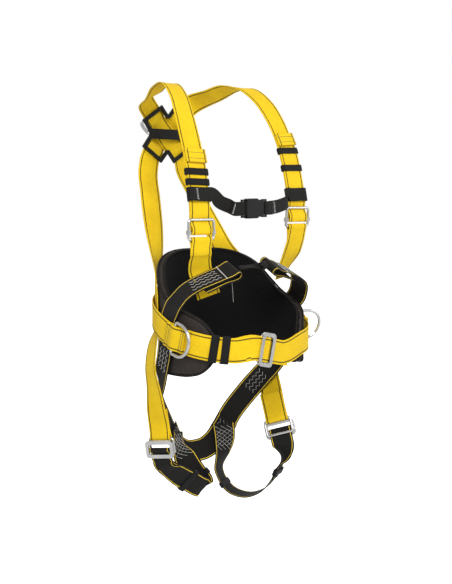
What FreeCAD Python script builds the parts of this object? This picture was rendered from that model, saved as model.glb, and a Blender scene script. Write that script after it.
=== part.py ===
"""Full-body safety harness with a work-positioning belt, as separate solids.

Millimetres, +Z up, +Y towards the wearer's back, +X towards the wearer's left. The origin is
on the wearer's axis at the middle of the waist belt. Webbing is made as a ribbon that follows
a route of stations, and every fitting is sized from the webbing that it holds.
"""
import FreeCAD
import Part
import math
import os

V = FreeCAD.Vector

# ---- driving sizes -------------------------------------------------------------------------
WEB_WIDTH = 45.0            # main webbing
WEB_THICK = 1.8
TAPE_WIDTH = 25.0           # chest strap webbing
TAPE_THICK = 1.6
TIE_WIDTH = 12.0
TIE_THICK = 1.2
LAYER_GAP = 0.4             # air between two layers of webbing
EDGE_GAP = 1.2              # air between a webbing edge and the fitting beside it
BAR_RADIUS = 2.5            # steel wire of buckles and adjusters
RING_WIRE = 3.0             # wire radius of the side D-rings
DORSAL_WIRE = 3.5           # wire radius of the dorsal D-ring
WAIST_HALF_WIDTH = 153.0    # waist belt, axis to middle of webbing, sideways
WAIST_HALF_DEPTH = 114.0    # the same, front to back
WAIST_ROUNDNESS = 2.5       # exponent of the belt's rounded-oblong plan
PAD_THICK = 13.0
PAD_COVER = 1.6
PAD_AIR = 8.2               # room between pad and belt for the two straps that pass there
SHOULDER_HALF_WIDTH = 93.0  # axis to the shoulder straps' crests
SHOULDER_HEIGHT = 455.0
PLATE_THICK = 4.0
PLATE_BAR = 7.0
KEEPER_WALL = 1.6
KEEPER_LENGTH = 12.0

LAYER = WEB_THICK + LAYER_GAP                    # pitch of stacked webbing
WRAP_RADIUS = BAR_RADIUS + LAYER_GAP + WEB_THICK / 2
SIDES = {"right": -1, "left": 1}


# ---- geometry helpers ----------------------------------------------------------------------
def unit(vector):
    """The vector at length 1."""
    length = vector.Length
    return V(vector.x / length, vector.y / length, vector.z / length)


class Place:
    """Axes at a fitting: a along the webbing, c across it and n out from the wearer."""

    def __init__(self, origin, along, across):
        self.o = V(*origin)
        self.a = unit(V(*along))
        across = V(*across)
        self.c = unit(across - self.a * across.dot(self.a))
        self.n = self.c.cross(self.a)

    def at(self, along, out=0.0, across=0.0):
        """The point at these distances from the origin."""
        return self.o + self.a * along + self.n * out + self.c * across

    def stop(self, along, out=0.0, flip=1):
        """A station of a ribbon that lies across this place."""
        return (self.at(along, out), self.c * flip)

    def bend(self, along, out, radius, start, end, count, flip=1):
        """Stations round a bar; 0 degrees is straight out and 90 is along."""
        stations = []
        for step in range(count):
            angle = math.radians(start + (end - start) * step / (count - 1))
            stations.append(self.stop(along + radius * math.sin(angle),
                                      out + radius * math.cos(angle), flip))
        return stations

    def matrix(self):
        """Placement that puts x on a, y on c and z on minus n."""
        back = self.n * -1
        return FreeCAD.Placement(FreeCAD.Matrix(
            self.a.x, self.c.x, back.x, self.o.x,
            self.a.y, self.c.y, back.y, self.o.y,
            self.a.z, self.c.z, back.z, self.o.z,
            0, 0, 0, 1))


def chord_lengths(points):
    """Running length along the points."""
    lengths = [0.0]
    for first, second in zip(points, points[1:]):
        lengths.append(lengths[-1] + (second - first).Length)
    return lengths


def slopes(values, lengths):
    """Rate of change at each value, from its neighbours on both sides."""
    steps = [(b - a) * (1 / (t - s)) for a, b, s, t in
             zip(values, values[1:], lengths, lengths[1:])]
    result = [steps[0]]
    for index in range(1, len(steps)):
        before = lengths[index] - lengths[index - 1]
        after = lengths[index + 1] - lengths[index]
        result.append((steps[index - 1] * after + steps[index] * before) * (1 / (before + after)))
    return result + [steps[-1]]


def between(values, rates, lengths, index, share):
    """Smooth value and rate of change at a share of the way from one station to the next."""
    gap = lengths[index + 1] - lengths[index]
    a, b = values[index], values[index + 1]
    p, q = rates[index] * gap, rates[index + 1] * gap
    t = share
    value = (a * (2 * t**3 - 3 * t**2 + 1) + p * (t**3 - 2 * t**2 + t)
             + b * (3 * t**2 - 2 * t**3) + q * (t**3 - t**2))
    rate = (a * (6 * t**2 - 6 * t) + p * (3 * t**2 - 4 * t + 1)
            + b * (6 * t - 6 * t**2) + q * (3 * t**2 - 2 * t)) * (1 / gap)
    return value, rate


def ruled_faces(first, second, stride):
    """Faces of straight lines between two rails that share their parameters.

    Each face spans stride knots, because a long face's volume is measured poorly.
    """
    surface = Part.BSplineSurface()
    poles = [list(pair) for pair in zip(first.getPoles(), second.getPoles())]
    knots = first.getKnots()
    surface.buildFromPolesMultsKnots(poles, first.getMultiplicities(), [2, 2],
                                     knots, [0.0, 1.0], False, False,
                                     first.Degree, 1)
    marks = knots[:-1:stride] + knots[-1:]
    faces = []
    for start, end in zip(marks, marks[1:]):
        patch = surface.copy()
        patch.segment(start, end, 0.0, 1.0)
        faces.append(patch.toShape())
    return faces


def ribbon(stations, width=WEB_WIDTH, thickness=WEB_THICK, spans=None, finer=3):
    """A closed solid that follows stations of (point, across direction).

    spans gives each station's own (low, high) edge along its across direction.
    """
    points = [V(station[0]) for station in stations]
    sides = [unit(V(*station[1])) for station in stations]
    edges = [V(low, high, 0) for low, high in spans or [(-width / 2, width / 2)] * len(points)]
    lengths = chord_lengths(points)
    rates = [slopes(values, lengths) for values in (points, sides, edges)]
    marks = [(index, step / finer) for index in range(len(points) - 1) for step in range(finer)]
    marks.append((len(points) - 2, 1.0))
    corners = [[], [], [], []]
    for index, share in marks:
        point, tangent = between(points, rates[0], lengths, index, share)
        side = between(sides, rates[1], lengths, index, share)[0]
        reach = between(edges, rates[2], lengths, index, share)[0]
        tangent = unit(tangent)
        side = unit(side - tangent * side.dot(tangent))
        normal = side.cross(tangent) * (thickness / 2)
        corners[0].append(point + side * reach.x + normal)
        corners[1].append(point + side * reach.y + normal)
        corners[2].append(point + side * reach.y - normal)
        corners[3].append(point + side * reach.x - normal)
    parameters = [lengths[index] + (lengths[index + 1] - lengths[index]) * share
                  for index, share in marks]
    rails = []
    for row in corners:
        rail = Part.BSplineCurve()
        rail.interpolate(Points=row, Parameters=parameters)
        rails.append(rail)
    faces = []
    for k in range(4):
        faces += ruled_faces(rails[k], rails[(k + 1) % 4], finer)
    for end in (0, -1):
        loop = [row[end] for row in corners]
        faces.append(Part.Face(Part.makePolygon(loop + loop[:1])))
    shell = Part.makeShell(faces)
    shell.sewShape()
    solid = Part.makeSolid(shell)
    if solid.Volume < 0:
        solid.reverse()
    return solid


def offset(stations, lift):
    """The same route, moved out from the wearer by lift along its own normal."""
    points = [V(station[0]) for station in stations]
    tangents = slopes(points, chord_lengths(points))
    moved = []
    for point, tangent, station in zip(points, tangents, stations):
        normal = unit(V(*station[1]).cross(tangent))
        moved.append((point + normal * lift, station[1]))
    return moved


def mirror(stations):
    """The route on the other side of the body; its outward face stays outward."""
    result = []
    for point, side in stations:
        point = V(point)
        side = V(*side)
        result.append((V(-point.x, point.y, point.z), V(side.x, -side.y, -side.z)))
    return result


def on_side(stations, side):
    """Routes are written for the wearer's right; this gives the one for a side."""
    return stations if side == "right" else mirror(stations)


def rounded_loop(length, width, radius, place):
    """Closed path of a rounded rectangle in a place's plane: length along, width across."""
    x, y = length / 2 - radius, width / 2 - radius
    k = radius * math.sqrt(0.5)
    edges = []
    corners = [(x, y, 1, 1), (-x, y, -1, 1), (-x, -y, -1, -1), (x, -y, 1, -1)]
    marks = []
    for cx, cy, sx, sy in corners:
        ends = [V(cx + sx * radius, cy, 0), V(cx, cy + sy * radius, 0)]
        if sx * sy < 0:
            ends.reverse()
        marks.append((ends[0], V(cx + sx * k, cy + sy * k, 0), ends[1]))
    for index, (start, middle, end) in enumerate(marks):
        edges.append(Part.Arc(start, middle, end).toShape())
        edges.append(Part.makeLine(end, marks[(index + 1) % 4][0]))
    path = Part.Wire(edges)
    path.Placement = place.matrix()
    return path


def wire_loop(path, start, direction, radius):
    """A round bar swept along a closed path."""
    profile = Part.Wire(Part.makeCircle(radius, start, direction))
    return path.makePipeShell([profile], True, True)


def ring_bar(length, width, corner, radius, place):
    """A rectangular ring of round bar, sizes to the bar's centre line."""
    path = rounded_loop(length, width, corner, place)
    edge = path.Edges[0]
    start = edge.valueAt(edge.FirstParameter)
    return wire_loop(path, start, edge.tangentAt(edge.FirstParameter), radius)


def box_at(place, along, across, out, size):
    """A block centred at a place; size is (along, across, out)."""
    block = Part.makeBox(size[0], size[1], size[2], V(-size[0] / 2, -size[1] / 2, -size[2] / 2))
    block.Placement = place.matrix().multiply(FreeCAD.Placement(
        V(along, across, -out), FreeCAD.Rotation()))
    return block


def rounded_box(place, along, across, out, size, radius):
    """A block with its four edges along the out direction rounded."""
    block = Part.makeBox(size[0], size[1], size[2], V(-size[0] / 2, -size[1] / 2, -size[2] / 2))
    upright = [edge for edge in block.Edges
               if abs(edge.Vertexes[0].Z - edge.Vertexes[1].Z) > size[2] / 2]
    block = block.makeFillet(radius, upright)
    block.Placement = place.matrix().multiply(FreeCAD.Placement(
        V(along, across, -out), FreeCAD.Rotation()))
    return block


def bar_across(place, along, out, length, radius):
    """A round bar across a place."""
    start = place.at(along, out, -length / 2)
    return Part.makeCylinder(radius, length, start, place.c)


def save(name, solid):
    """Write one piece as its own file."""
    if solid.ShapeType != "Solid":
        solid = solid.Solids[0]
    solid.exportStep("parts/" + name + ".step")


# ---- the waist: belt plan and pad ----------------------------------------------------------
def waist_point(angle, shrink=0.0):
    """Point of the waist plan; 0 degrees is the back and 90 the wearer's right."""
    sine = math.sin(math.radians(angle))
    cosine = math.cos(math.radians(angle))
    power = 2.0 / WAIST_ROUNDNESS
    x = -math.copysign(abs(sine) ** power, sine) * (WAIST_HALF_WIDTH - shrink)
    y = math.copysign(abs(cosine) ** power, cosine) * (WAIST_HALF_DEPTH - shrink)
    return x, y


def belt_height(y):
    """Height of the belt's middle: it hangs lower at the front."""
    return 3.0 + 0.27 * y + 0.18 * max(0.0, y)


def belt_route(start, end, step, lift=0.0):
    """Stations round the waist between two plan angles."""
    count = max(2, int(round(abs(end - start) / step)))
    stations = []
    for index in range(count + 1):
        x, y = waist_point(start + (end - start) * index / count)
        stations.append((V(x, y, belt_height(y)), (0, 0, -1)))
    return offset(stations, lift) if lift else stations


# Pad outline: plan angle from the back, lower edge, upper edge.
PAD_OUTLINE = [(0, -66, 148), (22, -67, 145), (40, -70, 134), (56, -72, 116), (70, -74, 90),
               (84, -75, 66), (98, -75, 48), (112, -73, 37), (124, -66, 25), (133, -50, 6),
               (138, -34, -12)]


def pad_layer(depth, thickness, trim):
    """One layer of the lumbar pad, depth being measured inwards from the pad's outside."""
    outline = [(-angle, low, high) for angle, low, high in PAD_OUTLINE[:0:-1]] + PAD_OUTLINE
    stations = []
    spans = []
    for angle, low, high in outline:
        x, y = waist_point(-angle, PAD_AIR + depth + thickness / 2)
        stations.append((V(x, y, 0), (0, 0, 1)))
        spans.append((low + trim, high - trim))
    return ribbon(stations, thickness=thickness, spans=spans)


def make_pad():
    """Lumbar pad: leather-look cover, foam and mesh lining."""
    foam = PAD_THICK - 2 * PAD_COVER - 2 * LAYER_GAP
    save("lumbar_pad_cover", pad_layer(0, PAD_COVER, 0))
    save("lumbar_pad_foam", pad_layer(PAD_COVER + LAYER_GAP, foam, 4))
    save("lumbar_pad_lining", pad_layer(PAD_THICK - PAD_COVER, PAD_COVER, 1))


# ---- places of the fittings ----------------------------------------------------------------
ADJUSTER = {"right": Place((-118, -56, 189), (0, -0.03, 1), (1, 0, 0)),
            "left": Place((118, -54, 209), (0, -0.08, 1), (1, 0, 0))}
PLATE = Place((0, 198, 372), (0, 0.03, -1), (1, 0, 0))
LEG_BUCKLE = {"right": Place((-133, 48, -222), (-0.1, 0.1, 0.99), (0.35, -0.93, 0)),
              "left": Place((131, 6, -214), (0.02, 0.36, 0.93), (-0.6, 0.8, 0))}
BELT_BUCKLE = Place((-20, -119, -27), (0.97, 0, -0.22), (-0.22, 0, -0.97))

# ---- two-part link buckle: a ring on one strap and a three-bar link on the other ----------
LINK_LENGTH = 33.0                                   # along the webbing
LINK_BAR = 7.0
LINK_THICK = 3.0
LINK_OUT = 3.2                                       # link's middle plane
LINK_WIDTH = WEB_WIDTH + 2 * EDGE_GAP + 2 * LINK_BAR
RING_ALONG = 5.0                                     # ring's middle, beyond the link's
RING_OUT = -6.6
RING_LENGTH = 29.0                                   # between bar centres
RING_WIDTH = WEB_WIDTH + 2 * EDGE_GAP + 2 * BAR_RADIUS


def buckle_ring(place):
    """Rectangular steel ring of a link buckle."""
    seat = Place(tuple(place.at(RING_ALONG, RING_OUT)), tuple(place.a), tuple(place.c))
    return ring_bar(RING_LENGTH, RING_WIDTH, 5.0, BAR_RADIUS, seat)


def buckle_link(place):
    """Flat steel link with a round middle bar for the webbing."""
    body = rounded_box(place, 0, 0, LINK_OUT, (LINK_LENGTH, LINK_WIDTH, LINK_THICK), 7.0)
    window = rounded_box(place, 0, 0, LINK_OUT,
                         (LINK_LENGTH - 2 * LINK_BAR, LINK_WIDTH - 2 * LINK_BAR,
                          LINK_THICK * 3), 3.0)
    body = body.cut(window)
    bar = bar_across(place, 0, LINK_OUT, LINK_WIDTH - 2 * LINK_BAR + 2.0, 1.5)
    return body.fuse(bar)


def ring_wrap(place, stub, flip):
    """Webbing that comes along -a, turns round the ring's far bar and goes back."""
    far = RING_ALONG + RING_LENGTH / 2
    return ([place.stop(far + 24, RING_OUT + LAYER / 2, flip),
             place.stop(far + 9, RING_OUT + LAYER / 2 + 1.2, flip)]
            + place.bend(far, RING_OUT, WRAP_RADIUS, 0, -180, 7, flip)
            + [place.stop(far + 9, RING_OUT - LAYER / 2 - 1.2, flip),
               place.stop(far + stub * 0.6, RING_OUT - LAYER / 2, flip),
               place.stop(far + stub, RING_OUT - LAYER / 2, flip)])


LINK_PIN = 1.5                                       # radius of the link's middle bar
LINK_ROUND = LINK_PIN + LAYER_GAP + WEB_THICK / 2


def link_wrap(place, flip):
    """Webbing from below, behind the link, over its middle bar and back behind it."""
    low = LINK_OUT - LINK_THICK / 2 - LAYER_GAP - WEB_THICK / 2
    return [place.stop(-30, low - LAYER, flip),
            place.stop(-18, low - LAYER, flip),
            place.stop(-8, low - LAYER + 0.3, flip),
            place.stop(-3, LINK_OUT - LINK_ROUND, flip),
            place.stop(0.6, LINK_OUT - LINK_ROUND + 0.1, flip),
            place.stop(2.2, LINK_OUT - 1.8, flip),
            place.stop(2.9, LINK_OUT, flip),
            place.stop(2.2, LINK_OUT + 1.8, flip),
            place.stop(0.2, LINK_OUT + LINK_ROUND, flip),
            place.stop(-2.8, LINK_OUT + 2.0, flip),
            place.stop(-5.2, low + 1.9, flip),
            place.stop(-7.6, low + 0.3, flip),
            place.stop(-10.6, low - 0.1, flip),
            place.stop(-18, low - 0.1, flip)]


# ---- shoulder straps -----------------------------------------------------------------------
FRAME_LENGTH = 35.0                                  # adjuster, between bar centres
SLEEVE = BAR_RADIUS + 0.4 + 1.6                      # outside of the sliding bar's sleeves
FRAME_WIDTH = WEB_WIDTH + 2 * EDGE_GAP + 2 * SLEEVE  # between side rail centres
SLIDE_BAR = -5.0                                     # sliding bar's rest, from the middle
SLIDE_TRAVEL = 5.0
BAND_ALONG = 37.5                                    # plate lobes from the plate's middle
BAND_UP = 41.0
DORSAL_OUT = PLATE_THICK / 2 + LAYER_GAP + DORSAL_WIRE
CROSS_OUT = DORSAL_OUT + DORSAL_WIRE + LAYER_GAP + WEB_THICK / 2
LOBE_OUT = PLATE_THICK / 2 + 1.0 + WEB_THICK / 2

# Inner run of a shoulder strap on the wearer's right, from above the adjuster to the plate.
CHEST_RUN = [((-118, -48, 250), (1, 0, 0)), ((-117, -40, 290), (1, 0, 0)),
             ((-116, -30, 326), (1, 0, 0)), ((-114, -15, 362), (1, 0, 0)),
             ((-110, 3, 396), (1, 0.05, 0)), ((-103, 28, 430), (1, 0.1, 0))]
CREST_RUN = {"right": [((-SHOULDER_HALF_WIDTH, 68, SHOULDER_HEIGHT), (1, 0.15, 0)),
                       ((-86, 106, 453), (1, 0.2, 0.15)),
                       ((-76, 140, 441), (0.95, 0.15, 0.35))],
             "left": [((-SHOULDER_HALF_WIDTH, 70, SHOULDER_HEIGHT + 3), (1, 0.15, 0)),
                      ((-84, 106, 460), (1, 0.2, 0.15)),
                      ((-71, 141, 449), (0.95, 0.15, 0.35))]}
TAIL_STATIONS = {"right": 3, "left": 4}              # how far up its tail reaches
# From the plate to the hip on the wearer's left, then down to the leg buckle.
BACK_RUN = [((45, 203, 302), (0.9, 0.1, 0.35)), ((58, 179, 250), (0.85, 0.2, 0.35)),
            ((73, 148, 190), (0.85, 0.1, 0.35)), ((88, 120, 134), (0.8, -0.3, 0.35)),
            ((105, 99, 104), (0.65, -0.65, 0.3)), ((121.5, 77, 86), (0.55, -0.8, 0.15)),
            ((131.8, 60.5, 60), (0.5, -0.86, 0)), ((133.2, 58, 28), (0.5, -0.86, 0)),
            ((133.2, 58, 4), (0.5, -0.86, 0)), ((141, 60, -26), (0.3, -0.95, 0))]
# From the hip to the leg buckle, on each side of the body.
DROP_RUN = {"right": [((-146.5, 60, -68), (0.2, 0.98, 0)), ((-141, 57, -112), (0, 1, 0)),
                      ((-138, 54, -150), (-0.25, 0.96, 0))],
            "left": [((146.5, 60, -68), (0.2, -0.98, 0)), ((143.5, 53, -104), (0.2, -0.97, 0)),
                     ((138, 39, -142), (0.45, -0.9, 0))]}


def shoulder_strap(side):
    """Long strap: folded back through the adjuster, over the shoulder, across the plate to
    the other hip and round the leg buckle's ring there."""
    place = ADJUSTER[side]
    other = "left" if side == "right" else "right"
    tail = offset(on_side(CHEST_RUN[:TAIL_STATIONS[side]], side), LAYER + 0.5)
    low = FRAME_LENGTH / 2
    stations = tail[::-1] + [
        place.stop(low + 9, -WRAP_RADIUS + 0.4),
        place.stop(low, -WRAP_RADIUS - 0.1),
        place.stop(low - 7, -1.2),
        place.stop(SLIDE_BAR + SLIDE_TRAVEL + 2.5, WRAP_RADIUS)]
    stations += place.bend(SLIDE_BAR, 0, WRAP_RADIUS, 0, -180, 7)
    stations += [place.stop(SLIDE_BAR + SLIDE_TRAVEL + 3, -WRAP_RADIUS - 0.1),
                 place.stop(low - 4, -WRAP_RADIUS - 1.6),
                 place.stop(low + 9, -WRAP_RADIUS - 2.4)]
    stations += on_side(CHEST_RUN, side) + on_side(CREST_RUN[side], side)
    sign = SIDES[side]
    extra = LAYER + 0.9 if side == "left" else 0.0
    for along, out in ((-1.35, LOBE_OUT - 2), (-1.0, LOBE_OUT), (-0.66, LOBE_OUT + 2.2),
                       (-0.45, CROSS_OUT + extra), (0, CROSS_OUT + extra),
                       (0.45, CROSS_OUT + extra), (0.66, LOBE_OUT + 2.2), (1.0, LOBE_OUT)):
        point = (PLATE.o + PLATE.a * (BAND_UP * along) + PLATE.n * out
                 + PLATE.c * (-sign * BAND_ALONG * along))
        stations.append((point, (BAND_UP, 0, -sign * BAND_ALONG)))
    stations += on_side(mirror(BACK_RUN), other) + DROP_RUN[other]
    stations += ring_wrap(LEG_BUCKLE[other], 55, -1)
    return ribbon(stations)


def tail_stop(side):
    """Folded and sewn tip that keeps a shoulder strap's tail in its adjuster."""
    last = TAIL_STATIONS[side] - 1
    place = place_on(on_side(CHEST_RUN, side), last)
    return box_at(place, -9, 0, 2 * LAYER + 0.5 + WEB_THICK, (26, WEB_WIDTH, 2 * WEB_THICK))


def adjuster_frame(side):
    """Steel frame of a shoulder adjuster."""
    return ring_bar(FRAME_LENGTH, FRAME_WIDTH, 5.0, BAR_RADIUS, ADJUSTER[side])


def adjuster_bar(side):
    """Sliding bar with a sleeve round each side rail of its frame."""
    place = ADJUSTER[side]
    bar = bar_across(place, SLIDE_BAR, 0, FRAME_WIDTH - 2 * SLEEVE + 2.0, BAR_RADIUS)
    for end in (-FRAME_WIDTH / 2, FRAME_WIDTH / 2):
        start = place.at(SLIDE_BAR - 3.5, 0, end)
        sleeve = Part.makeCylinder(SLEEVE, 7, start, place.a)
        bore = Part.makeCylinder(BAR_RADIUS + 0.4, 9, place.at(SLIDE_BAR - 4.5, 0, end), place.a)
        bar = bar.fuse(sleeve).cut(bore)
    return bar


def place_on(stations, index, share=0.0):
    """Axes at a share of the way from one station of a route to the next."""
    points = [V(station[0]) for station in stations]
    sides = [unit(V(*station[1])) for station in stations]
    lengths = chord_lengths(points)
    point, tangent = between(points, slopes(points, lengths), lengths, index, share)
    side = between(sides, slopes(sides, lengths), lengths, index, share)[0]
    return Place(tuple(point), tuple(tangent), tuple(side))


def keeper(place, layers, length, web=WEB_WIDTH, first_out=0.0):
    """Elastic loop round some layers of webbing; first_out is the innermost one's middle."""
    depth = (layers - 1) * (LAYER + 0.5) + WEB_THICK + 2 * KEEPER_AIR
    middle = first_out + (layers - 1) * (LAYER + 0.5) / 2
    width = web + 2 * KEEPER_AIR
    outer = rounded_box(place, 0, 0, middle,
                        (length, width + 2 * KEEPER_WALL, depth + 2 * KEEPER_WALL), 0.6)
    return outer.cut(box_at(place, 0, 0, middle, (length + 2, width, depth)))


KEEPER_AIR = 0.8
# Place of each shoulder keeper on its chest run: station and share of the way to the next.
SHOULDER_KEEPERS = {"right": [(0, 0.55), (1, 0.0)], "left": [(1, 0.3), (2, 0.2)]}


def shoulder_keepers(side):
    """Two elastic keepers that hold a shoulder strap's tail."""
    run = on_side(CHEST_RUN, side)
    return [keeper(place_on(run, index, share), 2, KEEPER_LENGTH)
            for index, share in SHOULDER_KEEPERS[side]]


# ---- dorsal plate and D-ring ---------------------------------------------------------------
# Half outline of the plate from its top notch: across, down.
PLATE_OUTLINE = [(0, -38), (16, -57), (62, -26), (43, 0)]


def dorsal_plate():
    """Butterfly plate: a four-lobed rim with a wide band across its middle."""
    half = PLATE_OUTLINE + [(x, -y) for x, y in PLATE_OUTLINE[-2::-1]]
    outline = half + [(-x, y) for x, y in half[-2:0:-1]]
    points = [V(down, across, 0) for across, down in outline]
    face = Part.Face(Part.makePolygon(points + points[:1]))
    window = face.makeOffset2D(-PLATE_BAR)
    rim = face.extrude(V(0, 0, PLATE_THICK)).cut(window.extrude(V(0, 0, PLATE_THICK)))
    band = Part.makeBox(20, 2 * (PLATE_OUTLINE[3][0] - 1), PLATE_THICK,
                        V(-10, 1 - PLATE_OUTLINE[3][0], 0))
    plate = rim.fuse(band).removeSplitter()
    plate.translate(V(0, 0, -PLATE_THICK / 2))
    plate.Placement = PLATE.matrix().multiply(plate.Placement)
    return plate


def d_ring(place, inner, depth, wire):
    """Round-bar D: its straight bar lies across the place and its bow reaches along it."""
    half = inner / 2 + wire
    corner = wire + 2.0
    k = corner * (1 - math.sqrt(0.5))
    arm = depth - half
    edges = [Part.makeLine(V(0, corner - half, 0), V(0, half - corner, 0)),
             Part.Arc(V(0, half - corner, 0), V(k, half - k, 0), V(corner, half, 0)).toShape(),
             Part.makeLine(V(corner, half, 0), V(arm, half, 0)),
             Part.Arc(V(arm, half, 0), V(depth, 0, 0), V(arm, -half, 0)).toShape(),
             Part.makeLine(V(arm, -half, 0), V(corner, -half, 0)),
             Part.Arc(V(corner, -half, 0), V(k, k - half, 0), V(0, corner - half, 0)).toShape()]
    ring = wire_loop(Part.Wire(edges), V(0, 0, 0), V(0, 1, 0), wire)
    ring.Placement = place.matrix()
    return ring


CROSS_HALF = WEB_WIDTH / 2 * math.hypot(BAND_ALONG, BAND_UP) / BAND_UP
DORSAL_INNER = 2 * (CROSS_HALF + 9.5)
DORSAL_DEPTH = 60.0
DORSAL_REST = 35.0                                   # degrees above straight out
DORSAL_PIVOT = PLATE.at(0, DORSAL_OUT)


def dorsal_d_ring():
    """Dorsal D-ring, resting upwards against the crossing of the straps."""
    up = math.radians(DORSAL_REST)
    reach = PLATE.n * math.cos(up) - PLATE.a * math.sin(up)
    return d_ring(Place(tuple(DORSAL_PIVOT), tuple(reach), (1, 0, 0)), DORSAL_INNER,
                  DORSAL_DEPTH, DORSAL_WIRE)


# ---- side D-rings --------------------------------------------------------------------------
D_ANGLE = 98.0                                       # on the waist plan
D_BAR_OUT = WEB_THICK / 2 + LAYER_GAP + RING_WIRE
D_INNER = WEB_WIDTH + 7.0
D_DEPTH = 44.0
D_REST = {"right": 7.0, "left": 84.0}                # degrees out from folded forwards


def waist_place(angle, side="right"):
    """Axes on the belt at a plan angle, mirrored for the wearer's left."""
    sign = 1 if side == "right" else -1
    return place_on(belt_route(sign * angle - 2, sign * angle + 2, 2), 1)


def side_d_ring(side):
    """Side D-ring on the waist belt."""
    seat = waist_place(D_ANGLE, side)
    turn = math.radians(D_REST[side])
    reach = seat.a * (-SIDES[side] * math.cos(turn)) + seat.n * math.sin(turn)
    return d_ring(Place(tuple(seat.at(0, D_BAR_OUT)), tuple(reach), tuple(seat.c)), D_INNER,
                  D_DEPTH, RING_WIRE)


def d_ring_patch(side):
    """Second layer of webbing, sewn to the belt over the bar of a side D-ring."""
    seat = waist_place(D_ANGLE, side)
    bump = D_BAR_OUT + RING_WIRE + LAYER_GAP + WEB_THICK / 2
    lifts = [(-24, LAYER), (-13, LAYER + 1), (-6, bump - 1.4), (0, bump), (6, bump - 1.4),
             (13, LAYER + 1), (24, LAYER)]
    return ribbon([seat.stop(along, lift) for along, lift in lifts])


# ---- waist belt ----------------------------------------------------------------------------
BELT_KEEPERS = [135.5, 145.0]                        # plan angles
TAIL_END = 113.0


def waist_belt():
    """Waist webbing: round its ring, about the waist, round the link and back as a tail."""
    tail = belt_route(TAIL_END, 152, 6, LAYER + 0.5)[::-1]
    return ribbon(ring_wrap(BELT_BUCKLE, 45, 1)[::-1] + belt_route(-151, 152, 7)
                  + link_wrap(BELT_BUCKLE, 1) + tail)


def belt_keepers():
    """Two elastic keepers for the belt's tail."""
    return [keeper(waist_place(angle), 2, 15.0) for angle in BELT_KEEPERS]


# ---- hip straps with their front loops -----------------------------------------------------
# Written for the wearer's right; the left eye reaches further towards the middle.
EYE = {"right": Place((-52, -71, 117), (0.93, -0.12, 0.34), (-0.2, -0.78, -0.5)),
       "left": Place((-22, -77, 121), (0.95, -0.14, 0.28), (-0.2, -0.78, -0.5))}
EYE_RADIUS = 7.0
EYE_BACK = {"right": [-78, -50, -30], "left": [-62, -46, -30]}    # inner layer's stations
EYE_RUN = {"right": [], "left": [((-60, -72.5, 116), (0.18, 0.80, 0.47))]}
HIP_RUN = [((-82, -67, 110), (0.18, 0.80, 0.45)), ((-104, -62, 102), (0.17, 0.80, 0.43)),
           ((-125, -51, 92), (0.14, 0.85, 0.4)), ((-141, -37, 78), (0.12, 0.88, 0.35)),
           ((-150, -22, 58), (0.08, 0.95, 0.25)), ((-150, -5, 38), (0.03, 0.99, 0.1)),
           ((-149.3, 5, 14), (0.03, 1, 0)), ((-149.3, 9, -12), (0.05, 1, 0)),
           ((-148.5, 15, -40), (0.08, 0.99, 0.05)), ((-145, 28, -72), (0.15, 0.96, 0.2)),
           ((-126, 57, -112), (0.45, 0.8, 0.35)), ((-106, 80, -148), (0.65, 0.6, 0.45)),
           ((-80, 95, -186), (0.69, 0.53, 0.49)), ((-64, 100, -212), (0.69, 0.53, 0.49)),
           ((-48, 104, -236), (0.69, 0.53, 0.49))]


def hip_strap(side):
    """Front loop, hip and buttock strap in one length, its front end folded into an eye."""
    eye = EYE[side]
    far, middle, near = EYE_BACK[side]
    lower = [eye.stop(far, -LAYER - 1.0, -1), eye.stop(middle, -LAYER - 1.0, -1),
             eye.stop(near, -LAYER - 1.6, -1), eye.stop(-16, -EYE_RADIUS + 0.6, -1)]
    stations = (lower + eye.bend(-7, 0, EYE_RADIUS, 180, 0, 9, -1)
                + [eye.stop(-16, EYE_RADIUS - 1.4, -1)]
                + EYE_RUN[side] + HIP_RUN)
    return ribbon(on_side(stations, side))


# ---- lower front straps --------------------------------------------------------------------
LOWER_RUN = {"right": [((-117, -55, 148), (1, 0, 0)), ((-112, -44, 130), (1, -0.08, 0)),
                       ((-104, -36, 114), (0.96, -0.25, 0.05)),
                       ((-97, -36, 98), (0.93, -0.33, 0.05)), ((-91, -37, 82), (0.93, -0.33, 0)),
                       ((-87, -39, 68), (0.93, -0.33, 0))],
             "left": [((117, -49, 160), (1, 0, 0)), ((115, -43, 142), (1, 0, 0)),
                      ((112, -32, 122), (1, 0.2, 0)), ((110, -22, 104), (1, 0.4, 0)),
                      ((109, -17, 90), (1, 0.45, 0))]}


def lower_front_strap(side):
    """Strap from an adjuster's lower bar to the hip strap's front loop."""
    place = ADJUSTER[side]
    low = -FRAME_LENGTH / 2
    stations = [place.stop(low - 30, -LAYER / 2), place.stop(low - 18, -LAYER / 2),
                place.stop(low - 9, -LAYER / 2 - 1.2)]
    stations += place.bend(low, 0, WRAP_RADIUS, 180, 0, 7)
    stations += [place.stop(low - 9, LAYER / 2 + 1.2), place.stop(low - 18, LAYER / 2)]
    return ribbon(stations + LOWER_RUN[side])


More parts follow.
